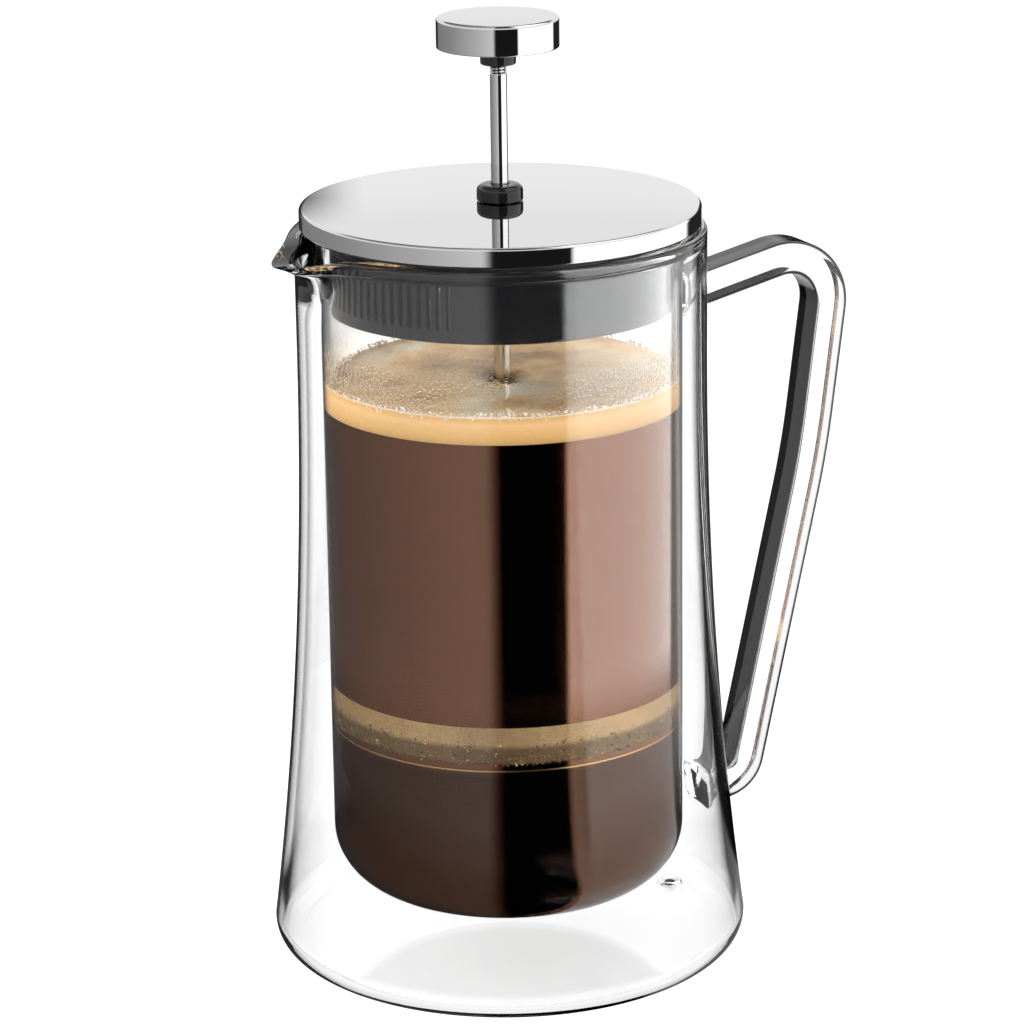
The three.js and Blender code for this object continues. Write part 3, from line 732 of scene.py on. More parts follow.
def pull_spout(shape):
    """Pulls the rim out and down around -X: weight = a sharp and a wide bell over the angle,
    outward by the channel's cube inside and the spout's 1.5 power outside, mixed by radius"""
    v, faces = shape
    r = np.hypot(v[:, 0], v[:, 1])
    off = np.degrees(np.arctan2(v[:, 1], -v[:, 0]))
    weight = 0.7 * np.exp(-(off / SPOUT_PINCH) ** 2) + 0.3 * np.exp(-(off / SPOUT_SPREAD) ** 2)
    risen = lambda depth: np.maximum(0.0, 1 - (GLASS_TOP - v[:, 2]) / depth)
    out = np.clip((r - SEAM) / (NECK - SEAM), 0.0, 1.0)
    channel = CHANNEL_REACH * risen(CHANNEL_DEPTH) ** 3
    spout = SPOUT_REACH * risen(SPOUT_DEPTH) ** 1.5
    reach = np.where(r > BORE / 2, weight * (channel * (1 - out) + spout * out), 0.0)
    grown = 1 + reach / np.maximum(r, 1.0)
    drop = SPOUT_DROP * np.where(r > BORE / 2, weight, 0.0) * risen(SPOUT_DEPTH) ** 2
    return np.stack([v[:, 0] * grown, v[:, 1] * grown, v[:, 2] - drop], -1), faces


def quarter(r, z, radius, a0, a1, steps):
    """Arc about (r, z) from angle a0 to a1, in degrees"""
    a = np.radians(np.linspace(a0, a1, steps + 1))
    return np.stack([r + radius * np.cos(a), z + radius * np.sin(a)], -1)


def carafe_shape():
    """Two closed surfaces: the glass's outside with the bore, and the hollow between the walls"""
    straight = lambda value: (lambda z: np.full_like(z, value))
    flat = float(wall_radius(BASE_CORNER)) - BASE_CORNER
    lip, bead = 1.4, 1.1
    outside = np.vstack([
        [(0.0, 0.0), (flat * 0.5, 0.0), (flat - 0.4, 0.0)],
        quarter(flat, BASE_CORNER, BASE_CORNER, -90, 0, 14),
        wall_run(wall_radius, BASE_CORNER + 1, GLASS_TOP - 24, 58),
        wall_run(wall_radius, GLASS_TOP - 23, GLASS_TOP - lip, 24)[:-1],
        quarter(NECK - lip, GLASS_TOP - lip, lip, 0, 90, 8),
        [(NECK - 2.6, GLASS_TOP), (VESSEL + 1.0, GLASS_TOP), (VESSEL - 0.4, GLASS_TOP)],
        quarter(BORE + bead, GLASS_TOP - bead, bead, 90, 180, 7),
        wall_run(straight(BORE), GLASS_TOP - bead - 0.8, GLASS_TOP - 23, 24),
        wall_run(straight(BORE), GLASS_TOP - 24, VESSEL_FLOOR + BORE_CORNER + 1, 40),
        quarter(BORE - BORE_CORNER, VESSEL_FLOOR + BORE_CORNER, BORE_CORNER, 0, -90, 16),
        [(16.0, VESSEL_FLOOR), (0.0, VESSEL_FLOOR)],
    ])
    inner = lambda z: wall_radius(z) - GLASS_WALL
    top = GLASS_TOP - LIP_WEB
    corner = BASE_CORNER - GLASS_WALL
    inner_flat = float(inner(BASE_CORNER)) - corner
    soft = 1.3
    vessel_corner = BORE_CORNER + GLASS_WALL
    hollow = np.vstack([
        [(0.0, FLOOR), (inner_flat * 0.5, FLOOR), (inner_flat - 0.4, FLOOR)],
        quarter(inner_flat, FLOOR + corner, corner, -90, 0, 10),
        wall_run(inner, BASE_CORNER + 1.5, GLASS_TOP - 24, 56),
        wall_run(inner, GLASS_TOP - 23, top - soft, 22)[:-1],
        quarter(NECK - GLASS_WALL - soft, top - soft, soft, 0, 90, 6),
        quarter(VESSEL + soft, top - soft, soft, 90, 180, 6),
        wall_run(straight(VESSEL), top - soft - 1, GLASS_TOP - 23, 20),
        wall_run(straight(VESSEL), GLASS_TOP - 24, VESSEL_BOTTOM + vessel_corner + 1, 40),
        quarter(VESSEL - vessel_corner, VESSEL_BOTTOM + vessel_corner, vessel_corner, 0, -90, 16),
        [(16.0, VESSEL_BOTTOM), (0.0, VESSEL_BOTTOM)],
    ])
    segments, crowd = 256, 0.4
    skin = pull_spout(revolve(outside, segments, crowd=crowd))
    void = pull_spout(revolve(hollow, segments, crowd=crowd))
    return joined([outward(skin), outward(void, inside_out=True)])


def strap_shape():
    """Strap: a rounded rectangle swept along a path in the XZ plane, its section widening by
    the square of the nearness to the wall where the ends are fused. Both ends stop in the wall."""
    wide, thick, corner, growth, fillet = 6.5, 4.5, 2.0, 1.25, 4.0
    foot, bury = 33.8, 1.2
    path = rounded([
        (NECK - 2.2, GLASS_TOP - 23.8),
        (NECK + 45.3, GLASS_TOP - 13.1, 13.5),
        (NECK + 45.3 - 7.7, GLASS_TOP - 72.4, 260.0),
        (NECK + 16.9, foot, 8.0),
        (NECK + 4.0, foot - 1.5),
    ], steps=10, stride=1.2, hold=1.2)
    runs = [path[:1]]
    for p, q in zip(path[:-1], path[1:]):
        count = max(1, int(np.linalg.norm(q - p) / 1.5))
        runs.append(p + (q - p) * (np.arange(1, count + 1)[:, None] / count))
    path = np.vstack(runs)
    tangent = np.gradient(path, axis=0)
    tangent /= np.linalg.norm(tangent, axis=1)[:, None]
    side = np.stack([-tangent[:, 1], tangent[:, 0]], -1)
    gap = path[:, 0] - wall_radius(path[:, 1])
    near = np.clip(1 - gap / fillet, 0.0, 1.0) ** 2 * growth
    section = rounded([(wide, -thick, corner), (wide, thick, corner),
                       (-wide, thick, corner), (-wide, -thick, corner)], ring=True, steps=7)
    y = section[None, :, 0] * (1 + near[:, None] / wide)
    t = section[None, :, 1] * (1 + near[:, None] / thick)
    grid = np.stack([
        path[:, :1] + side[:, :1] * t, y * np.ones_like(t), path[:, 1:] + side[:, 1:] * t], -1)
    for end, row in ((0, 0), (-1, len(path) - 1)):
        ring = grid[row]
        reach = np.sqrt(np.maximum((wall_radius(ring[:, 2]) - bury) ** 2 - ring[:, 1] ** 2, 0.0))
        shift = reach - ring[:, 0]
        steps = np.arange(len(path)) if end == 0 else np.arange(len(path))[::-1]
        fade = np.clip(1 - steps / 5.0, 0.0, 1.0)
        grid[:, :, 0] += fade[:, None] * shift[None, :]
    first, last = grid[0].mean(0), grid[-1].mean(0)
    first[0] = wall_radius(first[2]) - bury
    last[0] = wall_radius(last[2]) - bury
    return outward(closed_grid(grid, first, last))


# ----------------------------------------------------------------- lid pieces

def cover_top(r):
    """Height of the low domed top at radius r"""
    flat = COVER - 1.0
    return RIM_TOP + DOME * (1 - np.minimum(1.0, np.asarray(r, float) / flat) ** 2)


def cover_shape():
    """Pressed disc with a dome that falls by the square of the radius, and a turned-down rim"""
    hole = SHANK + SEAT_GAP
    r = np.linspace(hole, COVER - 1.6, 26)
    over = np.stack([r, cover_top(r)], -1)[::-1]
    under = np.stack([r[:-2], cover_top(r[:-2]) - COVER_SHEET], -1)
    inside = COVER - COVER_SHEET
    edge = rounded([
        (COVER - 1.7, float(cover_top(COVER - 1.6)) - 0.002), (COVER, RIM_TOP, 0.9),
        (COVER, RIM_BOTTOM, 0.25), (inside, RIM_BOTTOM, 0.2),
        (inside, RIM_TOP - COVER_SHEET, 0.6),
        (inside - 1.6, RIM_TOP - COVER_SHEET + 0.01)], steps=8)
    return revolve(np.vstack([under, edge[::-1], over]), 256, ring=True)


def insert_shape():
    """Deck, flange, groove and skirt of the black moulding under the cover"""
    hole = SHANK + SEAT_GAP
    flange = COVER - COVER_SHEET - SEAT_GAP
    inside = SKIRT - SKIRT_WALL
    groove = BORE - 0.3 - 0.85 - SEAT_GAP
    groove_low = low("lid_seal", 2) - SEAT_GAP
    top = lambda r: float(cover_top(r)) - COVER_SHEET - SEAT_GAP
    return lathe([
        (hole, DECK_UNDER), (inside, DECK_UNDER, 0.8), (inside, SKIRT_BOTTOM, 0.5),
        (SKIRT, SKIRT_BOTTOM, 0.6), (SKIRT, groove_low, 0.3), (groove, groove_low, 0.2),
        (groove, RIM_BOTTOM, 0.2), (flange, RIM_BOTTOM, 0.2), (flange, top(flange) - 0.3, 0.8),
        (34.0, top(34.0)), (18.0, top(18.0)), (hole, top(hole))], 256, ring=True, steps=5)


def slot_shapes():
    """Upright slots of the two strainer zones, towards the spout and the handle"""
    zone, count, width, throat = 50.0, 30, 1.2, 0.4
    top, bottom = GLASS_TOP - 4.6, SKIRT_BOTTOM + 3.4
    step = SKIRT - 0.8
    outline = np.array([(SKIRT - 3.4, throat / 2), (step, throat / 2), (step, width / 2),
                        (SKIRT + 1.5, width / 2), (SKIRT + 1.5, -width / 2), (step, -width / 2),
                        (step, -throat / 2), (SKIRT - 3.4, -throat / 2)])
    rows = [np.column_stack([outline, np.full(8, z)]) for z in (bottom, top)]
    caps = [np.array([(0, 1, 6, 7), (2, 3, 4, 5), (1, 2, 5, 6)]) + k for k in (0, 8)]
    sides = closed_grid(np.array(rows))
    cutter = outward((sides[0], sides[1] + [caps[0][:, ::-1], caps[1]]))
    turns = [math.radians(middle - zone + 2 * zone * (i + 0.5) / count)
             for middle in (0.0, 180.0) for i in range(count)]
    return joined([turned(cutter, a) for a in turns])


def seal_shape():
    """Flat rubber ring on the lip with a lip of its own that reaches down inside the glass"""
    z0, z1 = low("lid_seal", 2), high("lid_seal", 2)
    outer = BORE - 0.3
    flange = COVER - COVER_SHEET - SEAT_GAP
    return lathe([
        (outer - 0.85, z0, 0.2), (outer, z0, 0.25), (outer, z1 - 0.5, 0.1),
        (flange, z1 - 0.5, 0.15),
        (flange, z1, 0.15), (outer - 0.85, z1, 0.15)], 200, ring=True, steps=4)


def bush_shape():
    """Low rounded head on the lid with a straight shank below it"""
    hole, head = ROD + 0.12, 6.1
    seat = BUSH_TOP - 4.2
    return lathe([
        (hole, BUSH_LOW, 0.15), (SHANK, BUSH_LOW, 0.3), (SHANK, seat), (head, seat, 0.3),
        (head, BUSH_TOP, 1.8), (hole, BUSH_TOP + 0.0, 0.35)], 96, ring=True, steps=9)


def hex_nut(flats, hole, z0, z1, chamfer=0.5):
    """Hexagon whose radius is half the flats over the cosine of the angle from a flat's middle,
    with corners turned down by a cone at both faces"""
    a = np.linspace(0.0, 2 * math.pi, 96, endpoint=False)
    half = flats / 2
    hexagon = half / np.cos((a + math.pi / 6) % (math.pi / 3) - math.pi / 6)
    fall = (hexagon - half) * math.tan(math.radians(30.0))
    face = np.full_like(a, half * 0.96)
    rows = [
        (np.full_like(a, hole), z0 + 0.3 + 0 * a), (np.full_like(a, hole + 0.3), z0 + 0 * a),
        (face, z0 + 0 * a), (hexagon, z0 + 0.15 + fall), (hexagon, z0 + 0.25 + fall),
        (hexagon, z1 - 0.25 - fall), (hexagon, z1 - 0.15 - fall), (face, z1 + 0 * a),
        (np.full_like(a, hole + 0.3), z1 + 0 * a), (np.full_like(a, hole), z1 - 0.3 + 0 * a)]
    grid = np.array([np.stack([r * np.cos(a), r * np.sin(a), z], -1) for r, z in rows])
    return outward(closed_grid(grid, ring=True))


# ------------------------------------------------------------ plunger pieces

def knob_shape():
    """Pressed cup: a very low dome, a rounded edge and an open underside"""
    sheet, edge, dome = 0.9, 1.0, 0.3
    inside = KNOB - sheet
    r = np.linspace(0.0, KNOB - 1.8, 14)
    over = np.stack([r, KNOB_TOP + dome * (1 - (r / (KNOB - edge)) ** 2)], -1)[::-1]
    rim = rounded([
        (KNOB - 1.7, KNOB_TOP + 0.02), (KNOB, KNOB_TOP - 0.02, edge), (KNOB, KNOB_BOTTOM, 0.4),
        (inside, KNOB_BOTTOM, 0.35), (inside, KNOB_TOP - sheet, 0.8),
        (0.0, KNOB_TOP - sheet)], steps=9)
    return revolve(np.vstack([rim[::-1], over]), 200)


def knob_core_shape():
    """Black moulding inside the knob, with a short collar round the rod below it"""
    radius = KNOB - 0.9 - SEAT_GAP
    top = high("knob_core", 2)
    pocket = 3.5 / math.cos(math.pi / 6) + SEAT_GAP
    hole = ROD + SEAT_GAP
    face = KNOB_BOTTOM + SEAT_GAP
    return lathe([
        (hole, COLLAR_BOTTOM, 0.2), (4.65, COLLAR_BOTTOM, 0.5), (4.75, face, 0.3),
        (radius, face, 0.3), (radius, top, 0.8), (pocket, top), (pocket, top - 8.1),
        (hole, top - 8.1)], 120, ring=True, steps=6)


def rod_shape():
    """Shaft whose radius, along its threads, is the root plus a triangle wave of the height over
    the pitch less the turn"""
    root, pitch = ROD - 0.25, 0.8
    z0, z1 = low("plunger_rod", 2), high("plunger_rod", 2)
    turns = 3.0
    thread_low = COLLAR_BOTTOM - pitch * turns
    shoulder = SPRING_LOW
    fine = lambda a, b: np.arange(a, b, pitch / 10)
    z = np.unique(np.round(np.concatenate([
        fine(z0, shoulder), [shoulder, shoulder + 0.25],
        np.linspace(shoulder + 1, thread_low - 0.3, 40), fine(thread_low - 0.2, z1), [z1]]), 4))
    columns = 48
    a = np.linspace(0.0, 2 * math.pi, columns, endpoint=False)
    phase = (z[:, None] / pitch - a / (2 * math.pi)) % 1.0
    thread = root + 0.25 * (1 - np.abs(2 * phase - 1))
    threaded = (z < shoulder) | (z > thread_low)
    radius = np.where(threaded[:, None], thread, ROD)
    ends = np.minimum(np.minimum(z - z0, z1 - z) + 0.4, 1.0)[:, None] * 0.8 + 0.2
    radius = np.minimum(radius * np.where(ends < 1.0, ends, 1.0), ROD)
    grid = np.stack([radius * np.cos(a), radius * np.sin(a), np.repeat(z[:, None], columns, 1)], -1)
    return outward(closed_grid(grid, (0, 0, z0), (0, 0, z1)))


def hub_shape():
    """Flanged sleeve that clamps the filter stack"""
    z0, z1 = low("filter_hub", 2), high("filter_hub", 2)
    hole = ROD + SEAT_GAP
    return lathe([
        (hole, z0), (9.0, z0, 0.2), (9.0, z0 + 1.4, 0.5), (5.5, z0 + 1.9, 0.5), (5.5, z1, 0.9),
        (hole, z1, 0.2)], 80, ring=True, steps=5)


def spring_plate_shape():
    """Dished sheet: a flat hub, a steep cone and a wide flange with a turned-down edge"""
    s, hub, cone = 0.9, 11.0, 16.2
    lo, hi, edge = SPRING_LOW, SPRING_HIGH, SPRING_EDGE
    hole = ROD + SEAT_GAP
    return lathe([
        (hole, lo), (hub + 0.6, lo, 0.6), (cone + 0.6, hi - s, 0.6), (edge - s, hi - s, 0.6),
        (edge - s, lo + 1.0), (edge, lo + 1.0), (edge, hi, 1.2), (cone, hi, 1.0),
        (hub, lo + s, 0.6), (hole, lo + s)], 160, ring=True, steps=5)


def pegs(count, pitch, radius, z0, z1, start=0.0):
    """Upright pegs evenly spaced on a circle"""
    peg = lathe([(0.0, z0), (radius, z0), (radius, z1), (0.0, z1)], 40)
    angles = [2 * math.pi * (i + start) / count for i in range(count)]
    return joined([moved(peg, (pitch * math.cos(a), pitch * math.sin(a), 0.0)) for a in angles])


def screen_shape():
    """Wire cloth: a disc turned up all round against the glass"""
    s, turn = 0.45, 1.0
    edge = BORE + 0.15
    hole = ROD + SEAT_GAP
    return lathe([
        (hole, MESH_LOW), (edge, MESH_LOW, turn), (edge, MESH_HIGH, 0.15),
        (edge - s, MESH_HIGH, 0.15), (edge - s, MESH_LOW + s, turn - s), (hole, MESH_LOW + s)],
        256, ring=True, steps=6)


def cross_plate_shape():
    """Perforated disc with a rolled bead near its edge"""
    lo, hi = PLATE_LOW + 0.4, PLATE_HIGH
    edge = MESH_RADIUS - 0.2
    hole = ROD + SEAT_GAP
    return lathe([
        (hole, lo), (edge - 1.7, lo, 0.2), (edge - 1.3, lo - 0.4, 0.25),
        (edge - 0.4, lo - 0.4, 0.25),
        (edge, lo, 0.2), (edge, hi, 0.3), (hole, hi)], 200, ring=True, steps=5)


def coil_shape():
    """Spring wire on a circle: the wire's middle is at the ring's radius plus the coil's radius
    times the cosine of its turns, and its height the same times the sine"""
    ring = (SPRING_EDGE + MESH_RADIUS - 0.6) / 2
    wire = 0.35
    coil = (MESH_RADIUS - 0.6 - SPRING_EDGE) / 2 - SEAT_GAP - wire
    turns, steps, sides = 104, 104 * 14, 8
    t = np.linspace(0.0, 2 * math.pi, steps, endpoint=False)
    w = turns * t
    radius = ring + coil * np.cos(w)
    middle = np.stack([radius * np.cos(t), radius * np.sin(t), COIL_MIDDLE + coil * np.sin(w)], -1)
    tangent = np.roll(middle, -1, 0) - np.roll(middle, 1, 0)
    tangent /= np.linalg.norm(tangent, axis=1)[:, None]
    centre = np.stack([ring * np.cos(t), ring * np.sin(t), np.full_like(t, COIL_MIDDLE)], -1)
    normal = middle - centre
    normal -= (normal * tangent).sum(1)[:, None] * tangent
    normal /= np.linalg.norm(normal, axis=1)[:, None]
    across = np.cross(tangent, normal)
    a = np.linspace(0.0, 2 * math.pi, sides, endpoint=False)
    grid = middle[:, None] + wire * (
        np.cos(a)[None, :, None] * normal[:, None] + np.sin(a)[None, :, None] * across[:, None])
    return outward(closed_grid(grid, ring=True))


# --------------------------------------------------------------------- drink

def coffee_shape():
    """Coffee against the glass from the bore's floor up to its level, as a shell whose outside
    lies just inside the glass, so no air shows between them"""
    contact = 0.08
    level = bpy.context.scene.press_drink.level / MM
    edge, corner = BORE + contact, BORE_CORNER + contact
    base = VESSEL_FLOOR - contact
    return revolve(np.vstack([
        [(0.0, base), (15.0, base)],
        quarter(edge - corner, base + corner, corner, -90, 0, 20),
        wall_run(lambda z: np.full_like(z, edge), base + corner + 1, level, 20),
        [(edge - 0.1, level), (4.0, level), (4.0, level - 0.3), (edge - 0.16, level - 0.3)],
        wall_run(lambda z: np.full_like(z, edge - 0.16), base + corner + 1, level - 1, 20)[::-1],
        quarter(edge - corner, base + corner, corner - 0.16, 0, -90, 20),
        [(15.0, base + 0.16), (0.0, base + 0.16)]]), 200)


def foam_shape():
    """Crema: a disc against the glass. Its top climbs to the glass by the eighth power of the
    radius and to nothing round the rod, with small waves of bubbles"""
    drink = bpy.context.scene.press_drink
    level, top = drink.level / MM, (drink.level + drink.crema) / MM
    edge = BORE + 0.08
    r = np.concatenate([np.linspace(3.0, edge - 3, 60), np.linspace(edge - 2.8, edge, 12)])
    a = np.linspace(0.0, 2 * math.pi, 240, endpoint=False)
    share = r[:, None] / edge
    lift = 1.1 * share ** 14 + 0.12 * np.sin(9 * a + 14 * share) * share
    mound = -1.6 + 1.5 * np.clip((r[:, None] - 3) / 8, 0, 1) ** 0.5
    z = top - 1.1 + lift + mound + 0 * a
    upper = np.stack([r[:, None] * np.cos(a), r[:, None] * np.sin(a), z], -1)
    side = [np.stack([edge * np.cos(a), edge * np.sin(a), np.full_like(a, h)], -1)
            for h in np.linspace(top - 0.6, level + 0.05, 8)]
    under = [np.stack([q * np.cos(a), q * np.sin(a), np.full_like(a, level + 0.05)], -1)
             for q in (edge - 1.0, 3.0)]
    grid = np.concatenate([upper, np.array(side), np.array(under)])
    return outward(closed_grid(grid, ring=True))


def bead_shapes(count, seed, z_range, size, radius, squash=1.0, sides=(5, 8)):
    """Small domes scattered on a cylinder: each a coarse ball, flattened along the radius"""
    rng = np.random.default_rng(seed)
    rings, cols = sides
    p = np.linspace(0.0, math.pi, rings + 2)[1:-1]
    a = np.linspace(0.0, 2 * math.pi, cols, endpoint=False)
    ball = np.stack([
        np.sin(p)[:, None] * np.cos(a), np.sin(p)[:, None] * np.sin(a),
        np.repeat(np.cos(p)[:, None], cols, 1)], -1)
    unit, faces = closed_grid(ball, (0, 0, 1.0), (0, 0, -1.0))
    angle = rng.uniform(0, 2 * math.pi, count)
    z = z_range[0] + (z_range[1] - z_range[0]) * rng.uniform(0, 1, count) ** 1.6
    scale = size[0] + (size[1] - size[0]) * rng.uniform(0, 1, count) ** 3
    local = unit[None] * scale[:, None, None] * np.array([squash, 1.0, 1.0])
    c, s = np.cos(angle)[:, None], np.sin(angle)[:, None]
    x, y = local[..., 0] + radius, local[..., 1]
    verts = np.stack([x * c - y * s, x * s + y * c, local[..., 2] + z[:, None]], -1)
    offset = (np.arange(count) * len(unit))[:, None, None]
    faces = [(b[None] + offset).reshape(-1, b.shape[1]) for b in faces]
    return outward((verts.reshape(-1, 3), faces))


# ------------------------------------------------------------------ operators

class PRESS_OT_carafe(bpy.types.Operator):
    """Builds the double-wall glass carafe with its strap handle and the vent's plug"""
    bl_idname = "press.carafe"
    bl_label = "Carafe"

    def execute(self, context):
        glass = add_mesh("carafe_glass", carafe_shape(), shared(clear_glass), 40.0)
        combine(glass, strap_shape(), "UNION", 40.0)
        place(glass, "carafe", "clear_glass", "outer_vessel", "inner_vessel", "glass_handle")
        lo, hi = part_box("vent_plug")
        x, y = (lo[0] + hi[0]) / 2 / MM, (lo[1] + hi[1]) / 2 / MM
        z0, z1, r = lo[2] / MM, hi[2] / MM, (hi[0] - lo[0]) / 2 / MM
        plug = lathe([(0.0, z0), (r, z0, 0.3), (r, z1, 0.6), (0.0, z1)], 40)
        stopper = add_mesh("vent_stopper", moved(plug, (x, y, 0.0)), shared(rubber))
        place(stopper, "carafe", "black_rubber", "vent_plug")
        nib = lathe([(r + 0.4, z1 - 0.55, 0.1), (r + 1.9, z1 - 0.55, 0.1),
                               (r + 1.5, z1 + 0.5, 0.5), (r + 0.5, z1 + 0.5, 0.4)], 40, ring=True)
        ring = add_mesh("vent_nib", moved(nib, (x, y, 0.0)), shared(clear_glass))
        place(ring, "carafe", "clear_glass")
        return {"FINISHED"}


class PRESS_OT_lid(bpy.types.Operator):
    """Builds the steel cover, the black insert with its strainer slots, the seal and the bush"""
    bl_idname = "press.lid"
    bl_label = "Lid"

    def execute(self, context):
        place(add_mesh("cover_plate", cover_shape(), shared(polished_steel)),
              "lid", "polished_steel", "lid_cover")
        insert = add_mesh("strainer_insert", insert_shape(), shared(gloss_plastic))
        combine(insert, slot_shapes(), "DIFFERENCE")
        place(insert, "lid", "black_plastic", "lid_insert")
        place(add_mesh("seal_ring", seal_shape(), shared(rubber)),
              "seal", "black_rubber", "lid_seal")
        place(add_mesh("bush_dome", bush_shape(), shared(gloss_plastic)),
              "bush", "black_plastic", "lid_bush")
        z0, z1 = low("bush_washer", 2), high("bush_washer", 2)
        washer = lathe([
            (SHANK + SEAT_GAP, z0), (8.5, z0, 0.15), (8.5, z1, 0.15), (SHANK + SEAT_GAP, z1)],
            80, ring=True)
        place(add_mesh("washer_ring", washer, shared(plain_steel)), "bush",
              SLOTS["bush_washer"], "bush_washer")
        nut = hex_nut(13.0, SHANK + SEAT_GAP, low("bush_nut", 2), high("bush_nut", 2))
        place(add_mesh("bush_hexagon", nut, shared(plain_steel)), "bush",
              SLOTS["bush_nut"], "bush_nut")
        return {"FINISHED"}


class PRESS_OT_plunger(bpy.types.Operator):
    """Builds the knob, the rod and the filter stack"""
    bl_idname = "press.plunger"
    bl_label = "Plunger"

    def execute(self, context):
        steel, plain = shared(polished_steel), shared(plain_steel)
        insert = hex_nut(7.0, ROD + SEAT_GAP, low("knob_insert", 2), high("knob_insert", 2))
        nut = hex_nut(11.0, ROD + SEAT_GAP, low("filter_nut", 2), high("filter_nut", 2))
        made = [
            ("knob_cup", knob_shape(), steel, "knob_cap"),
            ("knob_moulding", knob_core_shape(), shared(gloss_plastic), "knob_core"),
            ("threaded_insert", insert, shared(brass_metal), "knob_insert"),
            ("plunger_shaft", rod_shape(), steel, "plunger_rod"),
            ("clamp_hub", hub_shape(), plain, "filter_hub"),
            ("dished_plate", spring_plate_shape(), plain, "spring_plate"),
            ("coil_edge", coil_shape(), plain, "edge_spring"),
            ("woven_screen", screen_shape(), shared(woven_wire), "mesh_screen"),
            ("perforated_plate", cross_plate_shape(), plain, "cross_plate"),
            ("filter_hexagon", nut, plain, "filter_nut"),
        ]
        for name, shape, material, node in made:
            place(add_mesh(name, shape, material), "plunger", SLOTS[node], node)
        plate = bpy.data.objects["dished_plate"]
        combine(plate, pegs(8, 27.9, 5.0, SPRING_LOW, SPRING_HIGH + 1, 0.5), "DIFFERENCE")
        disc = bpy.data.objects["perforated_plate"]
        edge = MESH_RADIUS - 0.2
        for count, ring, hole in ((6, 0.358, 0.112), (12, 0.738, 0.123)):
            cut = pegs(count, edge * ring, edge * hole, PLATE_LOW - 1, PLATE_HIGH + 1)
            combine(disc, cut, "DIFFERENCE")
        return {"FINISHED"}


class PRESS_OT_drink(bpy.types.Operator):
    """Builds the coffee with its crema, bubbles and the grounds caught at the filter"""
    bl_idname = "press.drink"
    bl_label = "Coffee"

    def execute(self, context):
        drink = context.scene.press_drink
        top = (drink.level + drink.crema) / MM
        place(add_mesh("coffee", coffee_shape(), shared(coffee_liquid), 60.0), "carafe", None)
        place(add_mesh("crema", foam_shape(), shared(crema_foam), 60.0), "carafe", None)
        bubbles = bead_shapes(2400, 11, (top - 1.3, top + 0.9), (0.16, 0.5), BORE - 0.2, squash=0.8)
        place(add_mesh("crema_bubbles", bubbles, shared(bubble_film)), "carafe", None)
        bead = lathe([(BORE - 0.6, PLATE_LOW, 0.2), (BORE + 0.2, PLATE_LOW, 0.3),
                                (BORE + 0.2, PLATE_LOW + 0.7, 0.3), (BORE - 0.6, PLATE_LOW + 0.7, 0.2)],
                     200, ring=True)
        place(add_mesh("filter_bead", bead, shared(brass_metal)), "plunger", "wire_mesh")
        crumbs = bead_shapes(2600, 5, (MESH_LOW + 0.4, MESH_LOW + 6.5), (0.1, 0.34), BORE + 0.16,
                             squash=0.3, sides=(3, 5))
        place(add_mesh("caught_grounds", crumbs, shared(grounds_paste)), "plunger", "wire_mesh")
        return {"FINISHED"}


# The record's material slot of each steel, plastic and brass piece
SLOTS = {
    "bush_washer": "plain_steel", "bush_nut": "plain_steel", "knob_cap": "polished_steel",
    "knob_core": "black_plastic", "knob_insert": "brass", "plunger_rod": "polished_steel",
    "filter_hub": "plain_steel", "spring_plate": "plain_steel", "edge_spring": "plain_steel",
    "mesh_screen": "wire_mesh", "cross_plate": "plain_steel", "filter_nut": "plain_steel",
}


# --------------------------------------------------------------------- stage

# Angles in degrees from the front of the lights, and strengths against a white of 1
BRIGHTEST = 4.0
PANEL_UNIT = 2.7
BACK = 0.95
GAP_END, PANEL_START, PANEL_END = 35.5, 37.5, 119
# Heights in metres between which mirrors see a plain bright ceiling
OVERHEAD_START, OVERHEAD_END = (0.25, 0.27), (0.37, 0.4)
# Millimetres
TENT_RADIUS, TENT_TOP = 240.0, 900.0


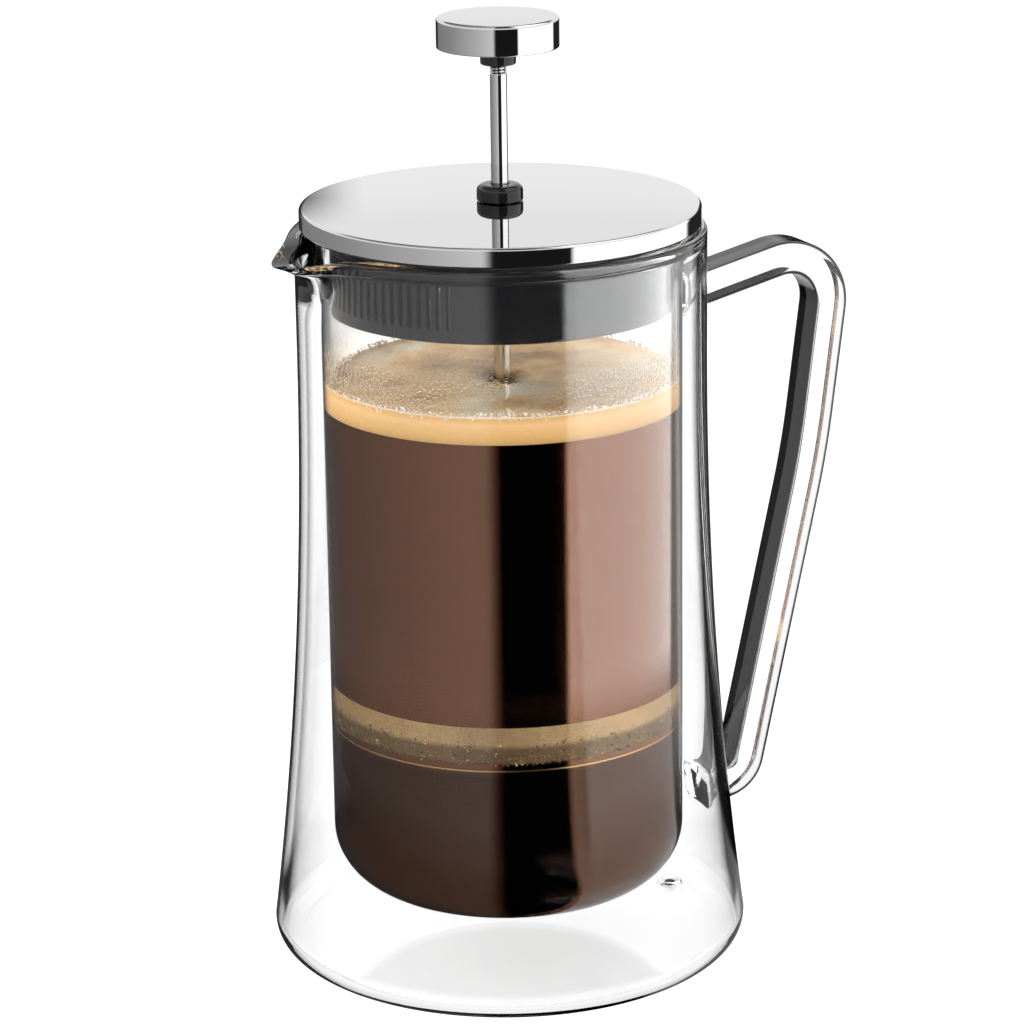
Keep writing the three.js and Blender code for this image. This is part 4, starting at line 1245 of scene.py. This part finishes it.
def tent_material(stage):
    """Panels of light that stand still round the object. Angles are counted from the front, which
    is a fixed direction in the room, and positive is to the right of it. Straight views through
    glass end on white. Mirrors see a grey left, a black gap and a white panel on the right, and
    reflections from deeper in the glass see the same sides in other strengths."""
    material = bpy.data.materials.new("studio_tent")
    material.use_nodes = True
    n = Nodes(material.node_tree)
    n.tree.nodes.remove(n.tree.nodes["Principled BSDF"])
    axis = n.split(n.at())
    turn = n.math("DIVIDE", n.math("ARCTAN2", axis[1], axis[0]), 2 * math.pi)
    front = (stage.front - math.pi / 2) / (2 * math.pi)
    place_at = n.math("FRACT", n.math("SUBTRACT", n.math("ADD", turn, 0.5), front))
    white = stage.white / PANEL_UNIT

    def bands(*stops):
        return n.ramp(place_at, [((d + 180) / 360, v / BRIGHTEST) for d, v in stops])

    def sides(left, gap, panel, right):
        """Left side, then the gap, then the white panel, then the right side, between two backs"""
        return bands((-180, BACK), *left, (GAP_END, gap), (PANEL_START, panel * white),
                     (PANEL_END, panel * white), *right, (180, BACK))

    mirror = sides([(-168, BACK), (-163, 0.03), (-146, 0.03), (-140, 0.22), (-90, 0.3), (-40, 0.48),
                    (-9, 0.66), (-4, 0.01)], 0.01, 1.4, [(123, 0.02), (156, 0.02), (160, BACK)])
    through = tuple([1.3 / BRIGHTEST] * 3)
    edge = bands((-180, 1.0), (-124, 1.0), (-116, 0.01), (150, 0.01), (156, 1.0), (180, 1.0))
    inner = sides([(-156, BACK), (-150, 0.02), (-125, 0.1), (-10, 0.12), (-4, 0.0)], 0.0, 3.6,
                  [(123, 0.02), (150, 0.02), (156, BACK)])
    dim_right = [(124, 0.9), (150, 0.1), (156, BACK)]
    deep = sides([(-160, BACK), (-152, 0.1), (-126, 0.42), (-71, 0.66), (-22, 0.88), (-10, 0.8),
                  (-2, 0.0)], 0.0, 2.0, dim_right)
    far = sides([(-160, BACK), (-152, 0.1), (-126, 0.4), (-71, 0.5), (-10, 0.5), (-2, 0.0)],
                0.0, 3.9, dim_right)
    ceiling = tuple([0.9 / BRIGHTEST] * 3)
    path = n.add("ShaderNodeLightPath").outputs
    reflected = n.math("GREATER_THAN", path["Glossy Depth"], 0.5)
    once = n.math("LESS_THAN", path["Glossy Depth"], 1.5)
    passes = path["Transmission Depth"]
    direct = n.math("LESS_THAN", passes, 0.5)
    above = n.math("MULTIPLY", n.range(axis[2], *OVERHEAD_START, 0.0, 1.0),
                   n.range(axis[2], *OVERHEAD_END, 1.0, 0.0))
    above = n.math("MULTIPLY", above, once)
    low_side = n.range(axis[2], 0.002, 0.016, 0.22, 1.0)
    dark = (0.0, 0.0, 0.0)
    lit = n.mix(low_side, dark, n.mix(above, mirror, ceiling))
    within = n.mix(n.math("GREATER_THAN", passes, 5.5), n.mix(low_side, dark, inner), deep)
    within = n.mix(n.math("GREATER_THAN", passes, 7.5), within, far)
    reach = n.radius(axis)
    paper = n.mix(n.range(reach, 0.076, 0.084, 0.0, 1.0), tuple([1.0 / BRIGHTEST] * 3), edge)
    glassy = n.mix(n.math("GREATER_THAN", passes, 3.5), paper, within)
    bounced = n.mix(direct, glassy, lit)
    light = n.mix(reflected, through, bounced)
    glow = n.add("ShaderNodeEmission", Color=light, Strength=BRIGHTEST)
    clear = n.add("ShaderNodeBsdfTransparent")
    under = n.math("LESS_THAN", axis[2], 0.0002)
    gone = n.math("MULTIPLY", under, n.math("SUBTRACT", 1.0, reflected))
    out = n.add("ShaderNodeMixShader", i0=gone, i1=glow.outputs[0], i2=clear.outputs[0])
    n.tree.links.new(out.outputs[0], n.tree.nodes["Material Output"].inputs[0])
    material.cycles.emission_sampling = "NONE"
    return material


def world_light():
    """White behind everything, softer for mirrors overhead"""
    world = bpy.data.worlds.new("studio")
    world.use_nodes = True
    bpy.context.scene.world = world
    n = Nodes(world.node_tree)
    background = world.node_tree.nodes["Background"]
    path = n.add("ShaderNodeLightPath").outputs
    mirror = n.mix(path["Is Glossy Ray"], (1.0, 1.0, 1.0), (0.22, 0.22, 0.225))
    n.tree.links.new(mirror, background.inputs[0])
    background.inputs[1].default_value = 1.0


def floor_material():
    """Plain pale paper with a trace of grain"""
    material, n, s = new_material("pale_floor")
    grain = n.noise(n.at(), 120.0, 3.0)
    tone = n.mix(grain, (0.93, 0.93, 0.93), (0.96, 0.96, 0.96))
    n.link(tone, s, "Base Color")
    plain(s, {"Roughness": 0.9, "Specular IOR Level": 0.1})
    glow = n.add("ShaderNodeEmission", Color=tone, Strength=1.3)
    mixed = n.add("ShaderNodeMixShader", i0=0.8, i1=s.outputs[0], i2=glow.outputs[0])
    n.tree.links.new(mixed.outputs[0], n.tree.nodes["Material Output"].inputs[0])
    material.cycles.emission_sampling = "NONE"
    return material


class PRESS_OT_stage(bpy.types.Operator):
    """Makes the camera, the pale floor and the studio light"""
    bl_idname = "press.stage"
    bl_label = "Stage"

    def execute(self, context):
        scene = context.scene
        stage = scene.press_stage
        a, e = stage.azimuth, stage.elevation
        back = Vector((math.sin(a) * math.cos(e), -math.cos(a) * math.cos(e), math.sin(e)))
        right = Vector((math.cos(a), math.sin(a), 0.0))
        camera = bpy.data.objects.new("camera", bpy.data.cameras.new("camera"))
        camera.data.lens, camera.data.sensor_width = 131.7, 36.0
        camera.data.clip_start, camera.data.clip_end = 0.01, 50.0
        aim = Vector((0.0, 0.0, 0.1201)) + right * 0.00203
        roll = Matrix.Rotation(math.radians(-0.76), 3, "Z")
        axes = Matrix((right, back.cross(right), back)).transposed() @ roll
        camera.matrix_world = Matrix.Translation(aim + back * stage.distance) @ axes.to_4x4()
        scene.collection.objects.link(camera)
        scene.camera = camera
        sheet = revolve([(0.0, 0.0), (500, 0.0), (4000, 0.0), (4000, -4.0), (0.0, -4.0)], 96)
        floor = add_mesh("pale_floor", sheet, floor_material())
        floor.location = (0.0, 0.0, -0.0002)
        r, top = TENT_RADIUS, TENT_TOP
        wall = revolve([(0.0, -0.1), (r - 1, -0.1), (r, 0.5), (r, top), (r + 1, top),
                        (r + 1, -0.15), (0.0, -0.15)], 128)
        tent = add_mesh("studio_tent", wall, tent_material(stage))
        tent.visible_camera = tent.visible_diffuse = tent.visible_shadow = False
        world_light()
        sun = bpy.data.objects.new("overhead", bpy.data.lights.new("overhead", "SUN"))
        sun.data.energy, sun.data.angle = 0.55, math.radians(40.0)
        sun.rotation_euler = (math.radians(12.0), math.radians(14.0), 0.0)
        sun.visible_glossy = sun.visible_transmission = False
        lamp = bpy.data.objects.new("low_softbox", bpy.data.lights.new("low_softbox", "AREA"))
        lamp.data.shape, lamp.data.size, lamp.data.size_y = "RECTANGLE", 0.5, 0.16
        lamp.data.energy = 5.5
        lamp.location = Vector((-0.18, 0.55, 0.31))
        towards = Vector((0.0, 0.0, 0.155)) - lamp.location
        lamp.rotation_euler = towards.to_track_quat("-Z", "Y").to_euler()
        lamp.visible_camera = lamp.visible_glossy = lamp.visible_transmission = False
        scene.collection.objects.link(lamp)
        scene.collection.objects.link(sun)
        scene.view_settings.view_transform = "Standard"
        cycles = scene.cycles
        cycles.max_bounces, cycles.transmission_bounces = 24, 20
        cycles.transparent_max_bounces, cycles.glossy_bounces = 16, 8
        cycles.caustics_reflective = cycles.caustics_refractive = False
        return {"FINISHED"}


class PRESS_PT_panel(bpy.types.Panel):
    """Sizes, colours and the buttons that build the pieces"""
    bl_idname = "PRESS_PT_panel"
    bl_label = "French press"
    bl_space_type = "VIEW_3D"
    bl_region_type = "UI"
    bl_category = "French press"

    def draw(self, context):
        for group, operator in (("press_glass", "press.carafe"), ("press_metal", "press.lid"),
                                ("press_drink", "press.drink"), ("press_stage", "press.stage")):
            box = self.layout.box()
            settings = getattr(context.scene, group)
            for name in settings.bl_rna.properties.keys():
                if name not in ("rna_type", "name"):
                    box.prop(settings, name)
            box.operator(operator)
        self.layout.operator("press.plunger")


GROUPS = {"press_glass": PressGlass, "press_metal": PressMetal,
          "press_drink": PressDrink, "press_stage": PressStage}
OPERATORS = (PRESS_OT_carafe, PRESS_OT_lid, PRESS_OT_plunger, PRESS_OT_drink, PRESS_OT_stage)


def register():
    for made in (*GROUPS.values(), *OPERATORS, PRESS_PT_panel):
        bpy.utils.register_class(made)
    for name, group in GROUPS.items():
        setattr(bpy.types.Scene, name, bpy.props.PointerProperty(type=group))


def unregister():
    for name in GROUPS:
        delattr(bpy.types.Scene, name)
    for made in (PRESS_PT_panel, *reversed(OPERATORS), *reversed(tuple(GROUPS.values()))):
        bpy.utils.unregister_class(made)


def main():
    """Builds every piece in order"""
    register()
    for step in (bpy.ops.press.carafe, bpy.ops.press.lid, bpy.ops.press.plunger,
                 bpy.ops.press.drink, bpy.ops.press.stage):
        step()


if __name__ == "__main__":
    main()
